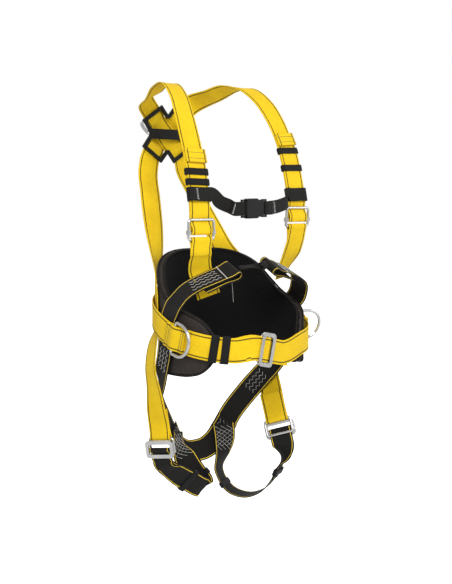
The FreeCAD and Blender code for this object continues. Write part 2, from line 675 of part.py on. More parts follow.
# ---- seat and leg straps -------------------------------------------------------------------
SEAT_RUN = [((-70, 95, -200), (0.69, 0.53, 0.49)), ((-54, 101, -226), (0.69, 0.53, 0.49)),
            ((-38, 105, -244), (0.5, 0.5, 0.7)), ((-18, 107, -254), (0.2, 0.45, 0.88)),
            ((0, 108, -256), (0, 0.42, 0.9))]
LEG_RUN = {"right": [((-57, 94, -207), (0.85, 0.46, -0.2)), ((-59, 88, -230), (0.85, 0.4, -0.1)),
                     ((-52, 71, -262), (0.6, -0.3, 0.5)), ((-41, 51, -290), (0.42, -0.44, 0.75)),
                     ((-36, 40, -303), (0.42, -0.44, 0.75)), ((-39, 35, -309), (0.42, -0.44, 0.75)),
                     ((-48, 34, -306), (0.42, -0.44, 0.75)), ((-72, 36, -291), (0.42, -0.44, 0.75)),
                     ((-98, 38, -274), (0.42, -0.55, 0.6))],
           "left": [((57, 93, -207), (0.85, -0.46, 0.2)), ((57, 89, -232), (0.87, -0.3, 0.15)),
                    ((54, 90, -264), (0.9, 0.1, 0.05)), ((53, 101, -303), (0.86, 0.5, 0)),
                    ((67, 80, -341), (0.86, 0.51, 0)), ((86, 51, -349), (0.86, 0.51, 0)),
                    ((104, 27, -338), (0.86, 0.51, 0)), ((119, 10, -312), (0.86, 0.51, 0)),
                    ((127, 0, -282), (0.8, 0.6, 0)), ((130, -6, -262), (0.1, 0.99, 0))]}
LEG_TAIL = {"right": [7, 8], "left": [7, 8, 9]}      # stations that the strap's tail covers
LEG_KEEPERS = {"right": [(7, 0.2, 2), (3, 0.2, 1)], "left": [(7, 0.5, 2), (3, 0.6, 1)]}


def seat_strap():
    """Short strap that joins the two hip straps under the seat."""
    far = [(V(-p[0], p[1], p[2]), (-s[0], s[1], s[2])) for p, s in SEAT_RUN[-2::-1]]
    return ribbon(offset(SEAT_RUN + far, -LAYER))


def leg_strap(side):
    """Strap from the seat joint round the thigh, through the leg buckle's link."""
    run = LEG_RUN[side]
    tail = offset([run[index] for index in LEG_TAIL[side]][::-1], -LAYER)
    return ribbon(run + link_wrap(LEG_BUCKLE[side], 1) + tail)


def leg_keepers(side):
    """Elastic keepers on a leg strap."""
    return [keeper(place_on(LEG_RUN[side], index, share), layers, 12.0)
            for index, share, layers in LEG_KEEPERS[side]]


# ---- chest strap and its buckle ------------------------------------------------------------
LOOP_AIR = 1.5                                       # room inside the loop's thin way
CHEST_BUCKLE = Place((-4, -76, 226), (1, 0, 0.02), (0, 0, -1))
CHEST_LAYER = TAPE_THICK + LAYER_GAP
TAPE_BAR = 2.0
TAPE_WRAP = TAPE_BAR + LAYER_GAP + TAPE_THICK / 2
BODY_LENGTH = 28.0
BODY_WIDTH = 36.0
BODY_THICK = 10.0
BODY_WALL = 1.8
PRONG_AIR = 0.4
PRONG_LENGTH = 23.0
STEM_LENGTH = 12.0
BAR_REACH = 9.0
CHEST_RUN_RIGHT = [(-78, -59, 238), (-62, -66, 230)]
CHEST_RUN_LEFT = [(84, -62, 239), (62, -67, 231), (44, -69.5, 228), (30, -70.5, 227)]


def chest_loop(side):
    """Chest webbing round a shoulder strap and its tail, ending towards the chest."""
    place = place_on(on_side(CHEST_RUN, side), 0)
    back = -WEB_THICK / 2 - LOOP_AIR - TAPE_THICK / 2
    front = LAYER + 0.5 + WEB_THICK / 2 + LOOP_AIR + TAPE_THICK / 2
    edge = WEB_WIDTH / 2 + EDGE_GAP + TAPE_THICK / 2
    sign = -SIDES[side]                              # towards the chest
    spots = [(4, front), (16, front), (edge - 2, front - 0.4), (edge, front - 2.5),
             (edge, back + 2.5), (edge - 2.5, back), (10, back), (-10, back),
             (2.5 - edge, back), (-edge, back + 2.5), (-edge, front - 0.5),
             (2.5 - edge, front + CHEST_LAYER), (-8, front + CHEST_LAYER),
             (12, front + CHEST_LAYER), (edge + 4, front + CHEST_LAYER)]
    return [(place.at(0, out, sign * across), place.a * -sign) for across, out in spots]


def tape_wrap(place, bar, sign, reach):
    """Tape that reaches a buckle bar over its front and comes back behind it."""
    ends = [place.stop(bar + sign * reach, CHEST_LAYER / 2),
            place.stop(bar + sign * 7, TAPE_WRAP - 0.6)]
    turn = place.bend(bar, 0, TAPE_WRAP, 0, -sign * 180, 7)
    return ends + turn + [place.stop(bar + sign * 7, 0.6 - TAPE_WRAP),
                          place.stop(bar + sign * reach * 0.6, -CHEST_LAYER / 2),
                          place.stop(bar + sign * reach, -CHEST_LAYER / 2)]


def chest_strap_right():
    """Chest webbing on the wearer's right, fixed to the buckle's socket."""
    run = [(V(*point), (0, 0, -1)) for point in CHEST_RUN_RIGHT]
    wrap = tape_wrap(CHEST_BUCKLE, -BODY_LENGTH - BAR_REACH, -1, 16)
    return ribbon(chest_loop("right") + run + wrap, TAPE_WIDTH, TAPE_THICK)


def chest_strap_left():
    """Chest webbing on the wearer's left, up to behind its end fold."""
    run = [(V(*point), (0, 0, 1)) for point in CHEST_RUN_LEFT]
    return ribbon(chest_loop("left") + run, TAPE_WIDTH, TAPE_THICK)


def chest_fold_left():
    """End fold of the left chest webbing, round the plug's bar."""
    wrap = tape_wrap(CHEST_BUCKLE, STEM_LENGTH + BAR_REACH, 1, 16)
    return ribbon(wrap, TAPE_WIDTH, TAPE_THICK)


def webbing_eye(base, sign, width):
    """Two arms and a round bar that webbing turns round, from a buckle half's end face."""
    place = CHEST_BUCKLE
    arm = (width - TAPE_WIDTH - 2 * PRONG_AIR) / 2
    middle = base + sign * (BAR_REACH - 0.5) / 2
    solid = bar_across(place, base + sign * BAR_REACH, 0, width, TAPE_BAR)
    for end in (-1, 1):
        solid = solid.fuse(box_at(place, middle, end * (width - arm) / 2, 0,
                                  (BAR_REACH + 0.5, arm, 2 * TAPE_BAR)))
    return solid


def chest_socket():
    """Side-release socket: a hollow body with side windows and a webbing bar."""
    place = CHEST_BUCKLE
    body = rounded_box(place, -BODY_LENGTH / 2, 0, 0, (BODY_LENGTH, BODY_WIDTH, BODY_THICK), 4.0)
    cavity = box_at(place, -BODY_LENGTH / 2 + BODY_WALL + 1, 0, 0,
                    (BODY_LENGTH, BODY_WIDTH - 4 * BODY_WALL, BODY_THICK - 2 * BODY_WALL))
    windows = box_at(place, -BODY_LENGTH / 2, 0, 0,
                     (10, BODY_WIDTH + 2, BODY_THICK - 2 * BODY_WALL))
    body = body.cut(cavity).cut(windows)
    return body.fuse(webbing_eye(-BODY_LENGTH, -1, TAPE_WIDTH + 8))


def chest_plug():
    """Side-release plug: stem, two spring arms, a middle guide and a webbing bar."""
    place = CHEST_BUCKLE
    inner = BODY_WIDTH - 4 * BODY_WALL - 2 * PRONG_AIR
    thick = BODY_THICK - 2 * BODY_WALL - 2 * PRONG_AIR
    stem = rounded_box(place, STEM_LENGTH / 2 + PRONG_AIR, 0, 0,
                       (STEM_LENGTH, TAPE_WIDTH + 6, BODY_THICK - 1.0), 3.0)
    for across, width in ((-inner / 2 + 2, 4), (0, 3.4), (inner / 2 - 2, 4)):
        stem = stem.fuse(box_at(place, PRONG_AIR + 1 - PRONG_LENGTH / 2, across, 0,
                                (PRONG_LENGTH, width, thick)))
    return stem.fuse(webbing_eye(STEM_LENGTH, 1, TAPE_WIDTH + 8))


# ---- front tie -----------------------------------------------------------------------------
def front_tie():
    """Tape tied between the two front eyes, knotted in the middle."""
    knot = Part.makeSphere(7.0, V(6, -81, 121))
    right = [((2, -80, 121.5), (0, 0.3, 1)), ((-18, -77, 121), (-0.1, 0.9, 0.4)),
             ((-42, -73, 119), (0.2, 0.78, 0.5))]
    left = [((9, -80.6, 121.3), (-0.2, 0.78, 0.5)), ((14, -79.8, 120.9), (-0.2, 0.78, 0.5)),
            ((19, -79, 120.5), (-0.2, 0.78, 0.5))]
    for route in (right, left):
        knot = knot.fuse(ribbon(route, TIE_WIDTH, TIE_THICK))
    return knot


def main():
    """Build every piece."""
    os.makedirs("parts", exist_ok=True)
    make_pad()
    save("dorsal_plate", dorsal_plate())
    save("dorsal_d_ring", dorsal_d_ring())
    save("waist_belt", waist_belt())
    save("belt_buckle_ring", buckle_ring(BELT_BUCKLE))
    save("belt_buckle_link", buckle_link(BELT_BUCKLE))
    save("seat_strap", seat_strap())
    save("chest_strap_right", chest_strap_right())
    save("chest_strap_left", chest_strap_left())
    save("chest_fold_left", chest_fold_left())
    save("chest_socket", chest_socket())
    save("chest_plug", chest_plug())
    save("front_tie", front_tie())
    for index, solid in enumerate(belt_keepers()):
        save("belt_keeper_%d" % (index + 1), solid)
    for side in SIDES:
        save("shoulder_strap_" + side, shoulder_strap(side))
        save("strap_tail_stop_" + side, tail_stop(side))
        save("lower_front_strap_" + side, lower_front_strap(side))
        save("adjuster_frame_" + side, adjuster_frame(side))
        save("adjuster_bar_" + side, adjuster_bar(side))
        save("side_d_ring_" + side, side_d_ring(side))
        save("d_ring_patch_" + side, d_ring_patch(side))
        save("hip_strap_" + side, hip_strap(side))
        save("leg_strap_" + side, leg_strap(side))
        save("leg_buckle_ring_" + side, buckle_ring(LEG_BUCKLE[side]))
        save("leg_buckle_link_" + side, buckle_link(LEG_BUCKLE[side]))
        for index, solid in enumerate(shoulder_keepers(side)):
            save("shoulder_keeper_%s_%d" % (side, index + 1), solid)
        for index, solid in enumerate(leg_keepers(side)):
            save("leg_keeper_%s_%d" % (side, index + 1), solid)


main()
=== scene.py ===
"""Looks of a full-body safety harness with a work-positioning belt.

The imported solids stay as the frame. Webbing, keepers and the lumbar pad are built here as finished
soft pieces on the same routes, and the metal and plastic fittings get their finishes. Routes are
written in millimetres and become metres when a mesh is made.
"""
import logging
import math
from dataclasses import dataclass, field
from enum import Enum
from typing import Any, Callable, Iterable, Sequence

import bmesh
import bpy
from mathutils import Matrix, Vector

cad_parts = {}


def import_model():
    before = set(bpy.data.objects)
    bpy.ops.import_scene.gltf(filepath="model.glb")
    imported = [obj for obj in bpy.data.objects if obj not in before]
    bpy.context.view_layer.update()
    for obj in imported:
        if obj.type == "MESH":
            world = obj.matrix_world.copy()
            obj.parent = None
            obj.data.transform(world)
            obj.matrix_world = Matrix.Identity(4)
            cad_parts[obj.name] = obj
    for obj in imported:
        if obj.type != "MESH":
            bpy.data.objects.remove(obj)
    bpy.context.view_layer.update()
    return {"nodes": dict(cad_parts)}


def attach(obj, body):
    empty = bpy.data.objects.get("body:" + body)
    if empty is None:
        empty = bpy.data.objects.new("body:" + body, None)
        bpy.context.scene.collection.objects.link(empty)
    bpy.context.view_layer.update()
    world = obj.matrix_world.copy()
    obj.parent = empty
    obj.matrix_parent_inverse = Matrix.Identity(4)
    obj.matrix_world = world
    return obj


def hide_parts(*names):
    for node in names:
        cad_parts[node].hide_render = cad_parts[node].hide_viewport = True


log = logging.getLogger("harness")
MM = 0.001
WEB = 45.0                      # main webbing's width
THICK = 1.8                     # and its thickness
TAPE = 25.0                     # chest strap
TAPE_THICK = 1.6
GAP = 0.4                       # air between layers of webbing
LAYER = THICK + GAP
TAIL = LAYER + 0.5              # height of a tail over the layer below it
HALF = THICK / 2
BAR = 2.5                       # radius of the buckles' steel wire
WRAP = BAR + GAP + THICK / 2
KEEPER_AIR = 0.7                # elastic keeper: air round the webbing,
KEEPER_WALL = 1.6               # wall
KEEPER_LENGTH = 12.0            # and length
THREAD_LIFT = 0.3               # thread's centre over the cloth
ROOT = "webbing"
Station = tuple[Vector, Vector]
Row = tuple[tuple[float, float, float], tuple[float, float, float]]


class Side(Enum):
    """The wearer's two sides."""

    RIGHT = "right"
    LEFT = "left"

    @property
    def sign(self) -> int:
        """Sign of x on this side."""
        return -1 if self is Side.RIGHT else 1

    @property
    def other(self) -> "Side":
        """The opposite side."""
        return Side.LEFT if self is Side.RIGHT else Side.RIGHT


def fixed(value: Any) -> Any:
    """A dataclass field that starts with a list or table."""
    return field(default_factory=lambda: value)


# ---- routes ---------------------------------------------------------------------------------
def rows(table: Sequence[Row]) -> list[Station]:
    """Stations from rows of a point and a direction across the webbing.

    Args:
        table: Rows of (point, across), in millimetres.

    Returns:
        The same as vectors, the directions at length 1.
    """
    return [(Vector(point), Vector(across).normalized()) for point, across in table]


def mirrored(stations: Sequence[Station]) -> list[Station]:
    """The route on the other side of the body; its outer face stays outward."""
    return [(Vector((-p.x, p.y, p.z)), Vector((s.x, -s.y, -s.z))) for p, s in stations]


def on_side(stations: Sequence[Station], side: Side) -> list[Station]:
    """Routes are written for the wearer's right; this gives the one for a side."""
    return list(stations) if side is Side.RIGHT else mirrored(stations)


class Place:
    """Axes at a fitting: a along the webbing, c across it and n out from the wearer."""

    def __init__(self, origin: Sequence[float], along: Sequence[float], across: Sequence[float]):
        """Set up the axes.

        Args:
            origin: The place's origin.
            along: Direction along the webbing.
            across: Direction roughly across it.
        """
        self.o = Vector(origin)
        self.a = Vector(along).normalized()
        wide = Vector(across)
        self.c = (wide - self.a * wide.dot(self.a)).normalized()
        self.n = self.c.cross(self.a)

    def at(self, along: float, out: float = 0.0, across: float = 0.0) -> Vector:
        """The point at these distances from the origin."""
        return self.o + self.a * along + self.n * out + self.c * across

    def stop(self, along: float, out: float = 0.0, flip: int = 1) -> Station:
        """A station of a ribbon that lies across this place."""
        return (self.at(along, out), self.c * flip)

    def bend(self, along: float, out: float, radius: float, start: float, end: float,
             count: int, flip: int = 1) -> list[Station]:
        """Stations round a bar; 0 degrees is straight out and 90 is along.

        Args:
            along: Bar's distance along.
            out: Bar's distance out.
            radius: Radius of the turn.
            start: First angle.
            end: Last angle.
            count: Number of stations.
            flip: 1 or -1, to turn the ribbon over.

        Returns:
            The stations in order.
        """
        turn = [math.radians(start + (end - start) * step / (count - 1)) for step in range(count)]
        return [self.stop(along + radius * math.sin(t), out + radius * math.cos(t), flip)
                for t in turn]


@dataclass
class Spot:
    """One place along a route."""

    point: Vector
    ahead: Vector
    side: Vector
    out: Vector
    along: float = 0.0
    low: float = 0.0
    high: float = 0.0


class Route:
    """A smooth line through stations, with a width that may change."""

    def __init__(self, stations: Sequence[Station], width: float = WEB,
                 spans: Sequence[tuple[float, float]] | None = None):
        """Work out the route.

        Args:
            stations: Points with their directions across.
            width: Width of the ribbon.
            spans: Each station's own low and high edge, in place of the width.
        """
        self.points = [Vector(p) for p, _ in stations]
        self.sides = [Vector(s).normalized() for _, s in stations]
        edges = spans or [(-width / 2, width / 2)] * len(stations)
        self.edges = [Vector((low, high, 0)) for low, high in edges]
        self.marks = [0.0]
        for first, second in zip(self.points, self.points[1:]):
            self.marks.append(self.marks[-1] + (second - first).length)
        self.rates = [self._rates(v) for v in (self.points, self.sides, self.edges)]

    @property
    def length(self) -> float:
        """Length along the stations."""
        return self.marks[-1]

    def _rates(self, values: Sequence[Vector]) -> list[Vector]:
        """Rate of change at each value, from its neighbours on both sides."""
        marks = self.marks
        steps = [(b - a) / (t - s) for a, b, s, t in zip(values, values[1:], marks, marks[1:])]
        result = [steps[0]]
        for i in range(1, len(steps)):
            before, after = marks[i] - marks[i - 1], marks[i + 1] - marks[i]
            result.append((steps[i - 1] * after + steps[i] * before) / (before + after))
        return result + [steps[-1]]

    def _between(self, values: Sequence[Vector], rates: Sequence[Vector], i: int,
                 t: float) -> tuple[Vector, Vector]:
        """Smooth value between two stations.

        Args:
            values: One value for each station.
            rates: Their rates of change.
            i: First of the two stations.
            t: Share of the way to the next.

        Returns:
            The value and its rate of change.
        """
        gap = self.marks[i + 1] - self.marks[i]
        a, b, p, q = values[i], values[i + 1], rates[i] * gap, rates[i + 1] * gap
        value = (a * (2 * t**3 - 3 * t**2 + 1) + p * (t**3 - 2 * t**2 + t)
                 + b * (3 * t**2 - 2 * t**3) + q * (t**3 - t**2))
        rate = (a * (6 * t**2 - 6 * t) + p * (3 * t**2 - 4 * t + 1)
                + b * (6 * t - 6 * t**2) + q * (3 * t**2 - 2 * t)) / gap
        return value, rate

    def spot(self, index: int, share: float = 0.0) -> Spot:
        """The place at a share of the way from one station to the next."""
        point, rate = self._between(self.points, self.rates[0], index, share)
        side = self._between(self.sides, self.rates[1], index, share)[0]
        edge = self._between(self.edges, self.rates[2], index, share)[0]
        ahead = rate.normalized()
        side = (side - ahead * side.dot(ahead)).normalized()
        along = self.marks[index] + (self.marks[index + 1] - self.marks[index]) * share
        return Spot(point, ahead, side, side.cross(ahead), along, edge.x, edge.y)

    def place(self, index: int, share: float = 0.0) -> Place:
        """Axes at a share of the way from one station to the next."""
        spot = self.spot(index, share)
        return Place(spot.point, spot.ahead, spot.side)

    def spots(self, step: float) -> list[Spot]:
        """Places at most a step apart, with every station among them."""
        found = []
        for i in range(len(self.points) - 1):
            parts = max(3, math.ceil((self.marks[i + 1] - self.marks[i]) / step))
            found += [self.spot(i, k / parts) for k in range(parts)]
        return found + [self.spot(len(self.points) - 2, 1.0)]

    def at(self, along: float, across: float = 0.0, out: float = 0.0) -> Vector:
        """A point by its distances along, across and out of the route."""
        along = min(max(along, 0.0), self.length - 1e-6)
        i = max(k for k in range(len(self.marks) - 1) if self.marks[k] <= along)
        spot = self.spot(i, (along - self.marks[i]) / (self.marks[i + 1] - self.marks[i]))
        return spot.point + spot.side * across + spot.out * out

    def lifted(self, lift: float) -> list[Station]:
        """The stations moved out by a distance."""
        last = len(self.points) - 2
        moved = []
        for i, side in enumerate(self.sides):
            spot = self.spot(min(i, last), 1.0 if i > last else 0.0)
            moved.append((self.points[i] + spot.out * lift, side))
        return moved


# ---- meshes ---------------------------------------------------------------------------------
def new_piece(name: str, verts: Iterable[Vector], faces: Sequence[Sequence[int]],
              uvs: Sequence[tuple[float, float]] | None = None,
              edges: Sequence[tuple[int, int]] = ()) -> bpy.types.Object:
    """Make an object from millimetre points.

    Args:
        name: Object name.
        verts: Points in millimetres.
        faces: Corner lists.
        uvs: One pair for each corner of each face, in metres.
        edges: Loose edges.

    Returns:
        The linked object.
    """
    mesh = bpy.data.meshes.new(name)
    mesh.from_pydata([tuple(v * MM) for v in verts], list(edges), [tuple(f) for f in faces])
    if uvs is not None:
        layer = mesh.uv_layers.new(name="cloth")
        for loop, pair in zip(layer.data, uvs):
            loop.uv = pair
    for face in mesh.polygons:
        face.use_smooth = True
    mesh.update()
    piece = bpy.data.objects.new(name, mesh)
    bpy.context.scene.collection.objects.link(piece)
    return piece


def web_section(low: float, high: float, thick: float) -> list[tuple[float, float]]:
    """Section of webbing with rounded edges.

    Args:
        low: Low edge.
        high: High edge.
        thick: Thickness.

    Returns:
        Points as (across, out), round from the outer face.
    """
    r = thick / 2
    inner = [low + r + (high - low - 2 * r) * k / 6 for k in range(7)]
    end = [(high - 0.3 * r, 0.72 * r), (high, 0.0), (high - 0.3 * r, -0.72 * r)]
    start = [(low + 0.3 * r, -0.72 * r), (low, 0.0), (low + 0.3 * r, 0.72 * r)]
    return [(x, r) for x in inner] + end + [(x, -r) for x in reversed(inner)] + start


def joined(rings: int, count: int, uv: Callable[[int, int], tuple[float, float]],
           closed: bool = False) -> tuple[list, list]:
    """Quads between one ring of corners and the next.

    Args:
        rings: Number of rings.
        count: Corners in a ring.
        uv: UV pair from a ring's and a corner's number.
        closed: Whether the last ring joins the first.

    Returns:
        The faces and their UV pairs.
    """
    faces, uvs = [], []
    for i in range(rings if closed else rings - 1):
        m = (i + 1) % rings
        for j in range(count):
            k = (j + 1) % count
            faces.append((i * count + j, i * count + k, m * count + k, m * count + j))
            uvs += [uv(i, j), uv(i, k), uv(i + 1, k), uv(i + 1, j)]
    return faces, uvs


def sweep(name: str, route: Route, thick: float, step: float = 4.0) -> bpy.types.Object:
    """A closed ribbon along a route, with its length and width as its UV map.

    Args:
        name: Object name.
        route: The line to follow.
        thick: Thickness.
        step: Longest distance between sections.

    Returns:
        The ribbon.
    """
    verts = []
    spots = route.spots(step)
    sections = [web_section(s.low, s.high, thick) for s in spots]
    count = len(sections[0])
    for spot, section in zip(spots, sections):
        verts += [spot.point + spot.side * x + spot.out * y for x, y in section]
    faces, uvs = joined(len(spots), count,
                        lambda i, j: (spots[i].along * MM, sections[i][j][0] * MM))
    for i, order in ((0, -1), (len(spots) - 1, 1)):
        faces.append([i * count + j for j in range(count)][::order])
        uvs += [(spots[i].along * MM, sections[i][j][0] * MM) for j in range(count)][::order]
    piece = new_piece(name, verts, faces, uvs)
    for face in piece.data.polygons[-2:]:
        face.use_smooth = False
    return piece


def hoop(name: str, place: Place, half_wide: float, low: float, high: float, length: float,
         wall: float) -> bpy.types.Object:
    """An elastic band sewn round flat webbing, a little fuller in its middle.

    Args:
        name: Object name.
        place: Where it sits.
        half_wide: Half of the inside width.
        low: Inside face towards the wearer.
        high: Inside face away from the wearer.
        length: Length along the webbing.
        wall: Wall thickness.

    Returns:
        The band.
    """
    middle, deep = (low + high) / 2, (high - low) / 2
    ends, around, blunting, arc = 8, 48, 10, 2.2
    verts, profile = [], []
    for k in range(ends + 1):
        x = -length / 2 + length * k / ends
        profile.append((x, wall - 0.35 * abs(2 * x / length) ** 4))
    profile += [(x, 0.05) for x, _ in reversed(profile)]
    for i in range(around):
        turn = 2 * math.pi * i / around
        c, s = math.cos(turn), math.sin(turn)
        blunt = (abs(c) ** blunting + abs(s) ** blunting) ** (-1 / blunting)
        for x, lift in profile:
            reach = Vector((c * blunt * (half_wide + lift), s * blunt * (deep + lift)))
            verts.append(place.at(x, middle + reach.y, reach.x))
    faces, uvs = joined(around, len(profile), lambda i, j: (profile[j][0] * MM, i * arc * MM),
                        closed=True)
    return outward(new_piece(name, verts, faces, uvs))


def keeper(name: str, body: str, place: Place, high: float) -> None:
    """An elastic keeper on the main webbing, in place of its solid.

    Args:
        name: The solid's name.
        body: Body that it rides on.
        place: Where it sits.
        high: Top of the webbing inside it.
    """
    band = hoop(f"elastic_{name}", place, WEB / 2 + KEEPER_AIR, -HALF - KEEPER_AIR,
                high + KEEPER_AIR, KEEPER_LENGTH, KEEPER_WALL)
    dress(band, ELASTIC, body, name)


def outward(piece: bpy.types.Object) -> bpy.types.Object:
    """Point every face of a closed piece outwards, and return it."""
    work = bmesh.new()
    work.from_mesh(piece.data)
    bmesh.ops.recalc_face_normals(work, faces=work.faces)
    work.to_mesh(piece.data)
    work.free()
    return piece


def settled(piece: bpy.types.Object) -> bpy.types.Object:
    """Turn a piece's modifiers into its plain mesh."""
    graph = bpy.context.evaluated_depsgraph_get()
    mesh = bpy.data.meshes.new_from_object(piece.evaluated_get(graph))
    piece.modifiers.clear()
    piece.data = mesh
    return piece


# ---- shader node groups and finishes ----------------------------------------------------------
class Wiring:
    """Short calls for adding nodes to one tree."""

    def __init__(self, tree: bpy.types.NodeTree):
        """Hold the tree."""
        self.tree = tree

    def add(self, kind: str, values: dict | None = None, **settings: Any) -> bpy.types.Node:
        """Add a node.

        Args:
            kind: Node type.
            values: Input name or number to a socket to link from, or a value.
            **settings: Node properties.

        Returns:
            The node.
        """
        node = self.tree.nodes.new(kind)
        for key, value in settings.items():
            setattr(node, key, value)
        return self.fill(node, values or {})

    def fill(self, node: bpy.types.Node, values: dict) -> bpy.types.Node:
        """Link or set a node's inputs.

        Args:
            node: The node.
            values: Input name or number to a socket to link from, or a value.

        Returns:
            The node.
        """
        for key, value in values.items():
            if isinstance(value, bpy.types.NodeSocket):
                self.tree.links.new(value, node.inputs[key])
            else:
                node.inputs[key].default_value = value
        return node

    def math(self, operation: str, *values: Any) -> bpy.types.NodeSocket:
        """Output of a Math node."""
        return self.add("ShaderNodeMath", dict(enumerate(values)), operation=operation).outputs[0]

    def group(self, tree: bpy.types.NodeTree, values: dict) -> bpy.types.NodeSocket:
        """Output of a shader node group."""
        return self.add("ShaderNodeGroup", values, node_tree=tree).outputs[0]

    def blend(self, share: Any, first: Any, second: Any) -> bpy.types.NodeSocket:
        """Colour output of a Mix node."""
        return self.add("ShaderNodeMix", {0: share, 6: first, 7: second},
                        data_type="RGBA").outputs[2]


def shader_group(name: str, inputs: dict[str, float], output: str,
                 build: Callable[[Wiring, Any], bpy.types.NodeSocket]) -> bpy.types.NodeTree:
    """Build a shader node group once.

    Args:
        name: Group name.
        inputs: Name and default of each input.
        output: Name of its output, a value.
        build: Gives the output's source, from the group's wiring and its input sockets.

    Returns:
        The group.
    """
    if name in bpy.data.node_groups:
        return bpy.data.node_groups[name]
    tree = bpy.data.node_groups.new(name, "ShaderNodeTree")
    for label, value in inputs.items():
        socket = tree.interface.new_socket(label, in_out="INPUT", socket_type="NodeSocketFloat")
        socket.default_value = value
    tree.interface.new_socket(output, in_out="OUTPUT", socket_type="NodeSocketFloat")
    w = Wiring(tree)
    source = build(w, tree.nodes.new("NodeGroupInput").outputs)
    w.add("NodeGroupOutput", {output: source})
    return tree


def weave_group() -> bpy.types.NodeTree:
    """Ribs across and yarns along webbing."""

    def build(w: Wiring, given: Any) -> bpy.types.NodeSocket:
        """Height of the weave."""
        ribs, yarns = [w.math("SINE", w.math("MULTIPLY", w.math("DIVIDE", given[way], given[pitch]),
                                             2 * math.pi))
                       for way, pitch in (("Along", "Rib Pitch"), ("Across", "Yarn Pitch"))]
        height = w.math("ADD", w.math("MULTIPLY", ribs, 0.32), w.math("MULTIPLY", yarns, 0.18))
        return w.math("ADD", height, 0.5)

    return shader_group("webbing weave", {"Along": 0.0, "Across": 0.0, "Rib Pitch": 0.002,
                                          "Yarn Pitch": 0.001}, "Height", build)


def line_group() -> bpy.types.NodeTree:
    """A thin woven line inside each edge, which may be broken into dashes."""

    def build(w: Wiring, given: Any) -> bpy.types.NodeSocket:
        """Mask of the line."""
        away = w.math("ABSOLUTE", w.math("SUBTRACT", w.math("ABSOLUTE", given["Across"]),
                                         given["Line At"]))
        line = w.math("LESS_THAN", away, w.math("MULTIPLY", given["Line Width"], 0.5))
        phase = w.math("FRACT", w.math("DIVIDE", given["Along"], given["Dash Pitch"]))
        return w.math("MULTIPLY", line, w.math("LESS_THAN", phase, given["Dash Share"]))

    return shader_group("edge line", {"Along": 0.0, "Across": 0.0, "Line At": 0.018,
                                      "Line Width": 0.001, "Dash Pitch": 0.003,
                                      "Dash Share": 0.7}, "Mask", build)


def uneven_group() -> bpy.types.NodeTree:
    """Soft change of tone over a surface, for dye, dust and handling."""

    def build(w: Wiring, given: Any) -> bpy.types.NodeSocket:
        """Tone round one half."""
        where = w.add("ShaderNodeTexCoord").outputs["Object"]
        broad = w.add("ShaderNodeTexNoise", {"Vector": where, "Scale": given["Scale"],
                                             "Detail": 3.0})
        fine = w.add("ShaderNodeTexNoise", {"Vector": where, "Detail": 2.0,
                                            "Scale": w.math("MULTIPLY", given["Scale"], 14.0)})
        mixed = w.math("ADD", w.math("MULTIPLY", broad.outputs["Fac"], 0.65),
                       w.math("MULTIPLY", fine.outputs["Fac"], 0.35))
        swing = w.math("MULTIPLY", w.math("SUBTRACT", mixed, 0.5), given["Amount"])
        return w.math("ADD", swing, 0.5)

    return shader_group("uneven tone", {"Scale": 12.0, "Amount": 1.0}, "Tone", build)


def grain_group() -> bpy.types.NodeTree:
    """Pebbled grain of leather cloth and moulded plastic."""

    def build(w: Wiring, given: Any) -> bpy.types.NodeSocket:
        """Height of the grain."""
        where = w.add("ShaderNodeTexCoord").outputs["Object"]
        cells = w.add("ShaderNodeTexVoronoi", {"Vector": where, "Scale": given["Scale"]})
        dust = w.add("ShaderNodeTexNoise", {"Vector": where, "Detail": 4.0,
                                            "Scale": w.math("MULTIPLY", given["Scale"], 0.35)})
        return w.math("ADD", cells.outputs["Distance"],
                      w.math("MULTIPLY", dust.outputs["Fac"], given["Cloudy"]))

    return shader_group("pebble grain", {"Scale": 900.0, "Cloudy": 0.8}, "Height", build)


Colour = tuple[float, float, float]


@dataclass(frozen=True)
class Finish:
    """What every finish has."""

    name: str
    slot: str
    colour: Colour
    roughness: float = 0.6

    def material(self) -> bpy.types.Material:
        """The finish's material, made the first time it is asked for."""
        found = bpy.data.materials.get(self.name)
        if found:
            return found
        made = bpy.data.materials.new(self.name)
        made.use_nodes = True
        made.diffuse_color = (*self.colour, 1.0)
        shader = made.node_tree.nodes["Principled BSDF"]
        self.wire(Wiring(made.node_tree), shader)
        return made

    def wire(self, w: Wiring, shader: bpy.types.Node) -> None:
        """Connect the finish's nodes to its shader."""
        raise NotImplementedError

    def tone(self, w: Wiring, scale: float, dark: float, light: float) -> bpy.types.NodeSocket:
        """The finish's colour, made unevenly darker and lighter."""
        uneven = w.group(uneven_group(), {"Scale": scale, "Amount": 2.4})
        low = tuple(c * dark for c in self.colour) + (1.0,)
        high = tuple(min(1.0, c * light) for c in self.colour) + (1.0,)
        return w.blend(uneven, low, high)

    def bump(self, w: Wiring, shader: bpy.types.Node, height: bpy.types.NodeSocket,
             distance: float, strength: float = 1.0) -> None:
        """Raise the surface by a height."""
        node = w.add("ShaderNodeBump", {"Height": height, "Distance": distance,
                                        "Strength": strength})
        w.tree.links.new(node.outputs["Normal"], shader.inputs["Normal"])


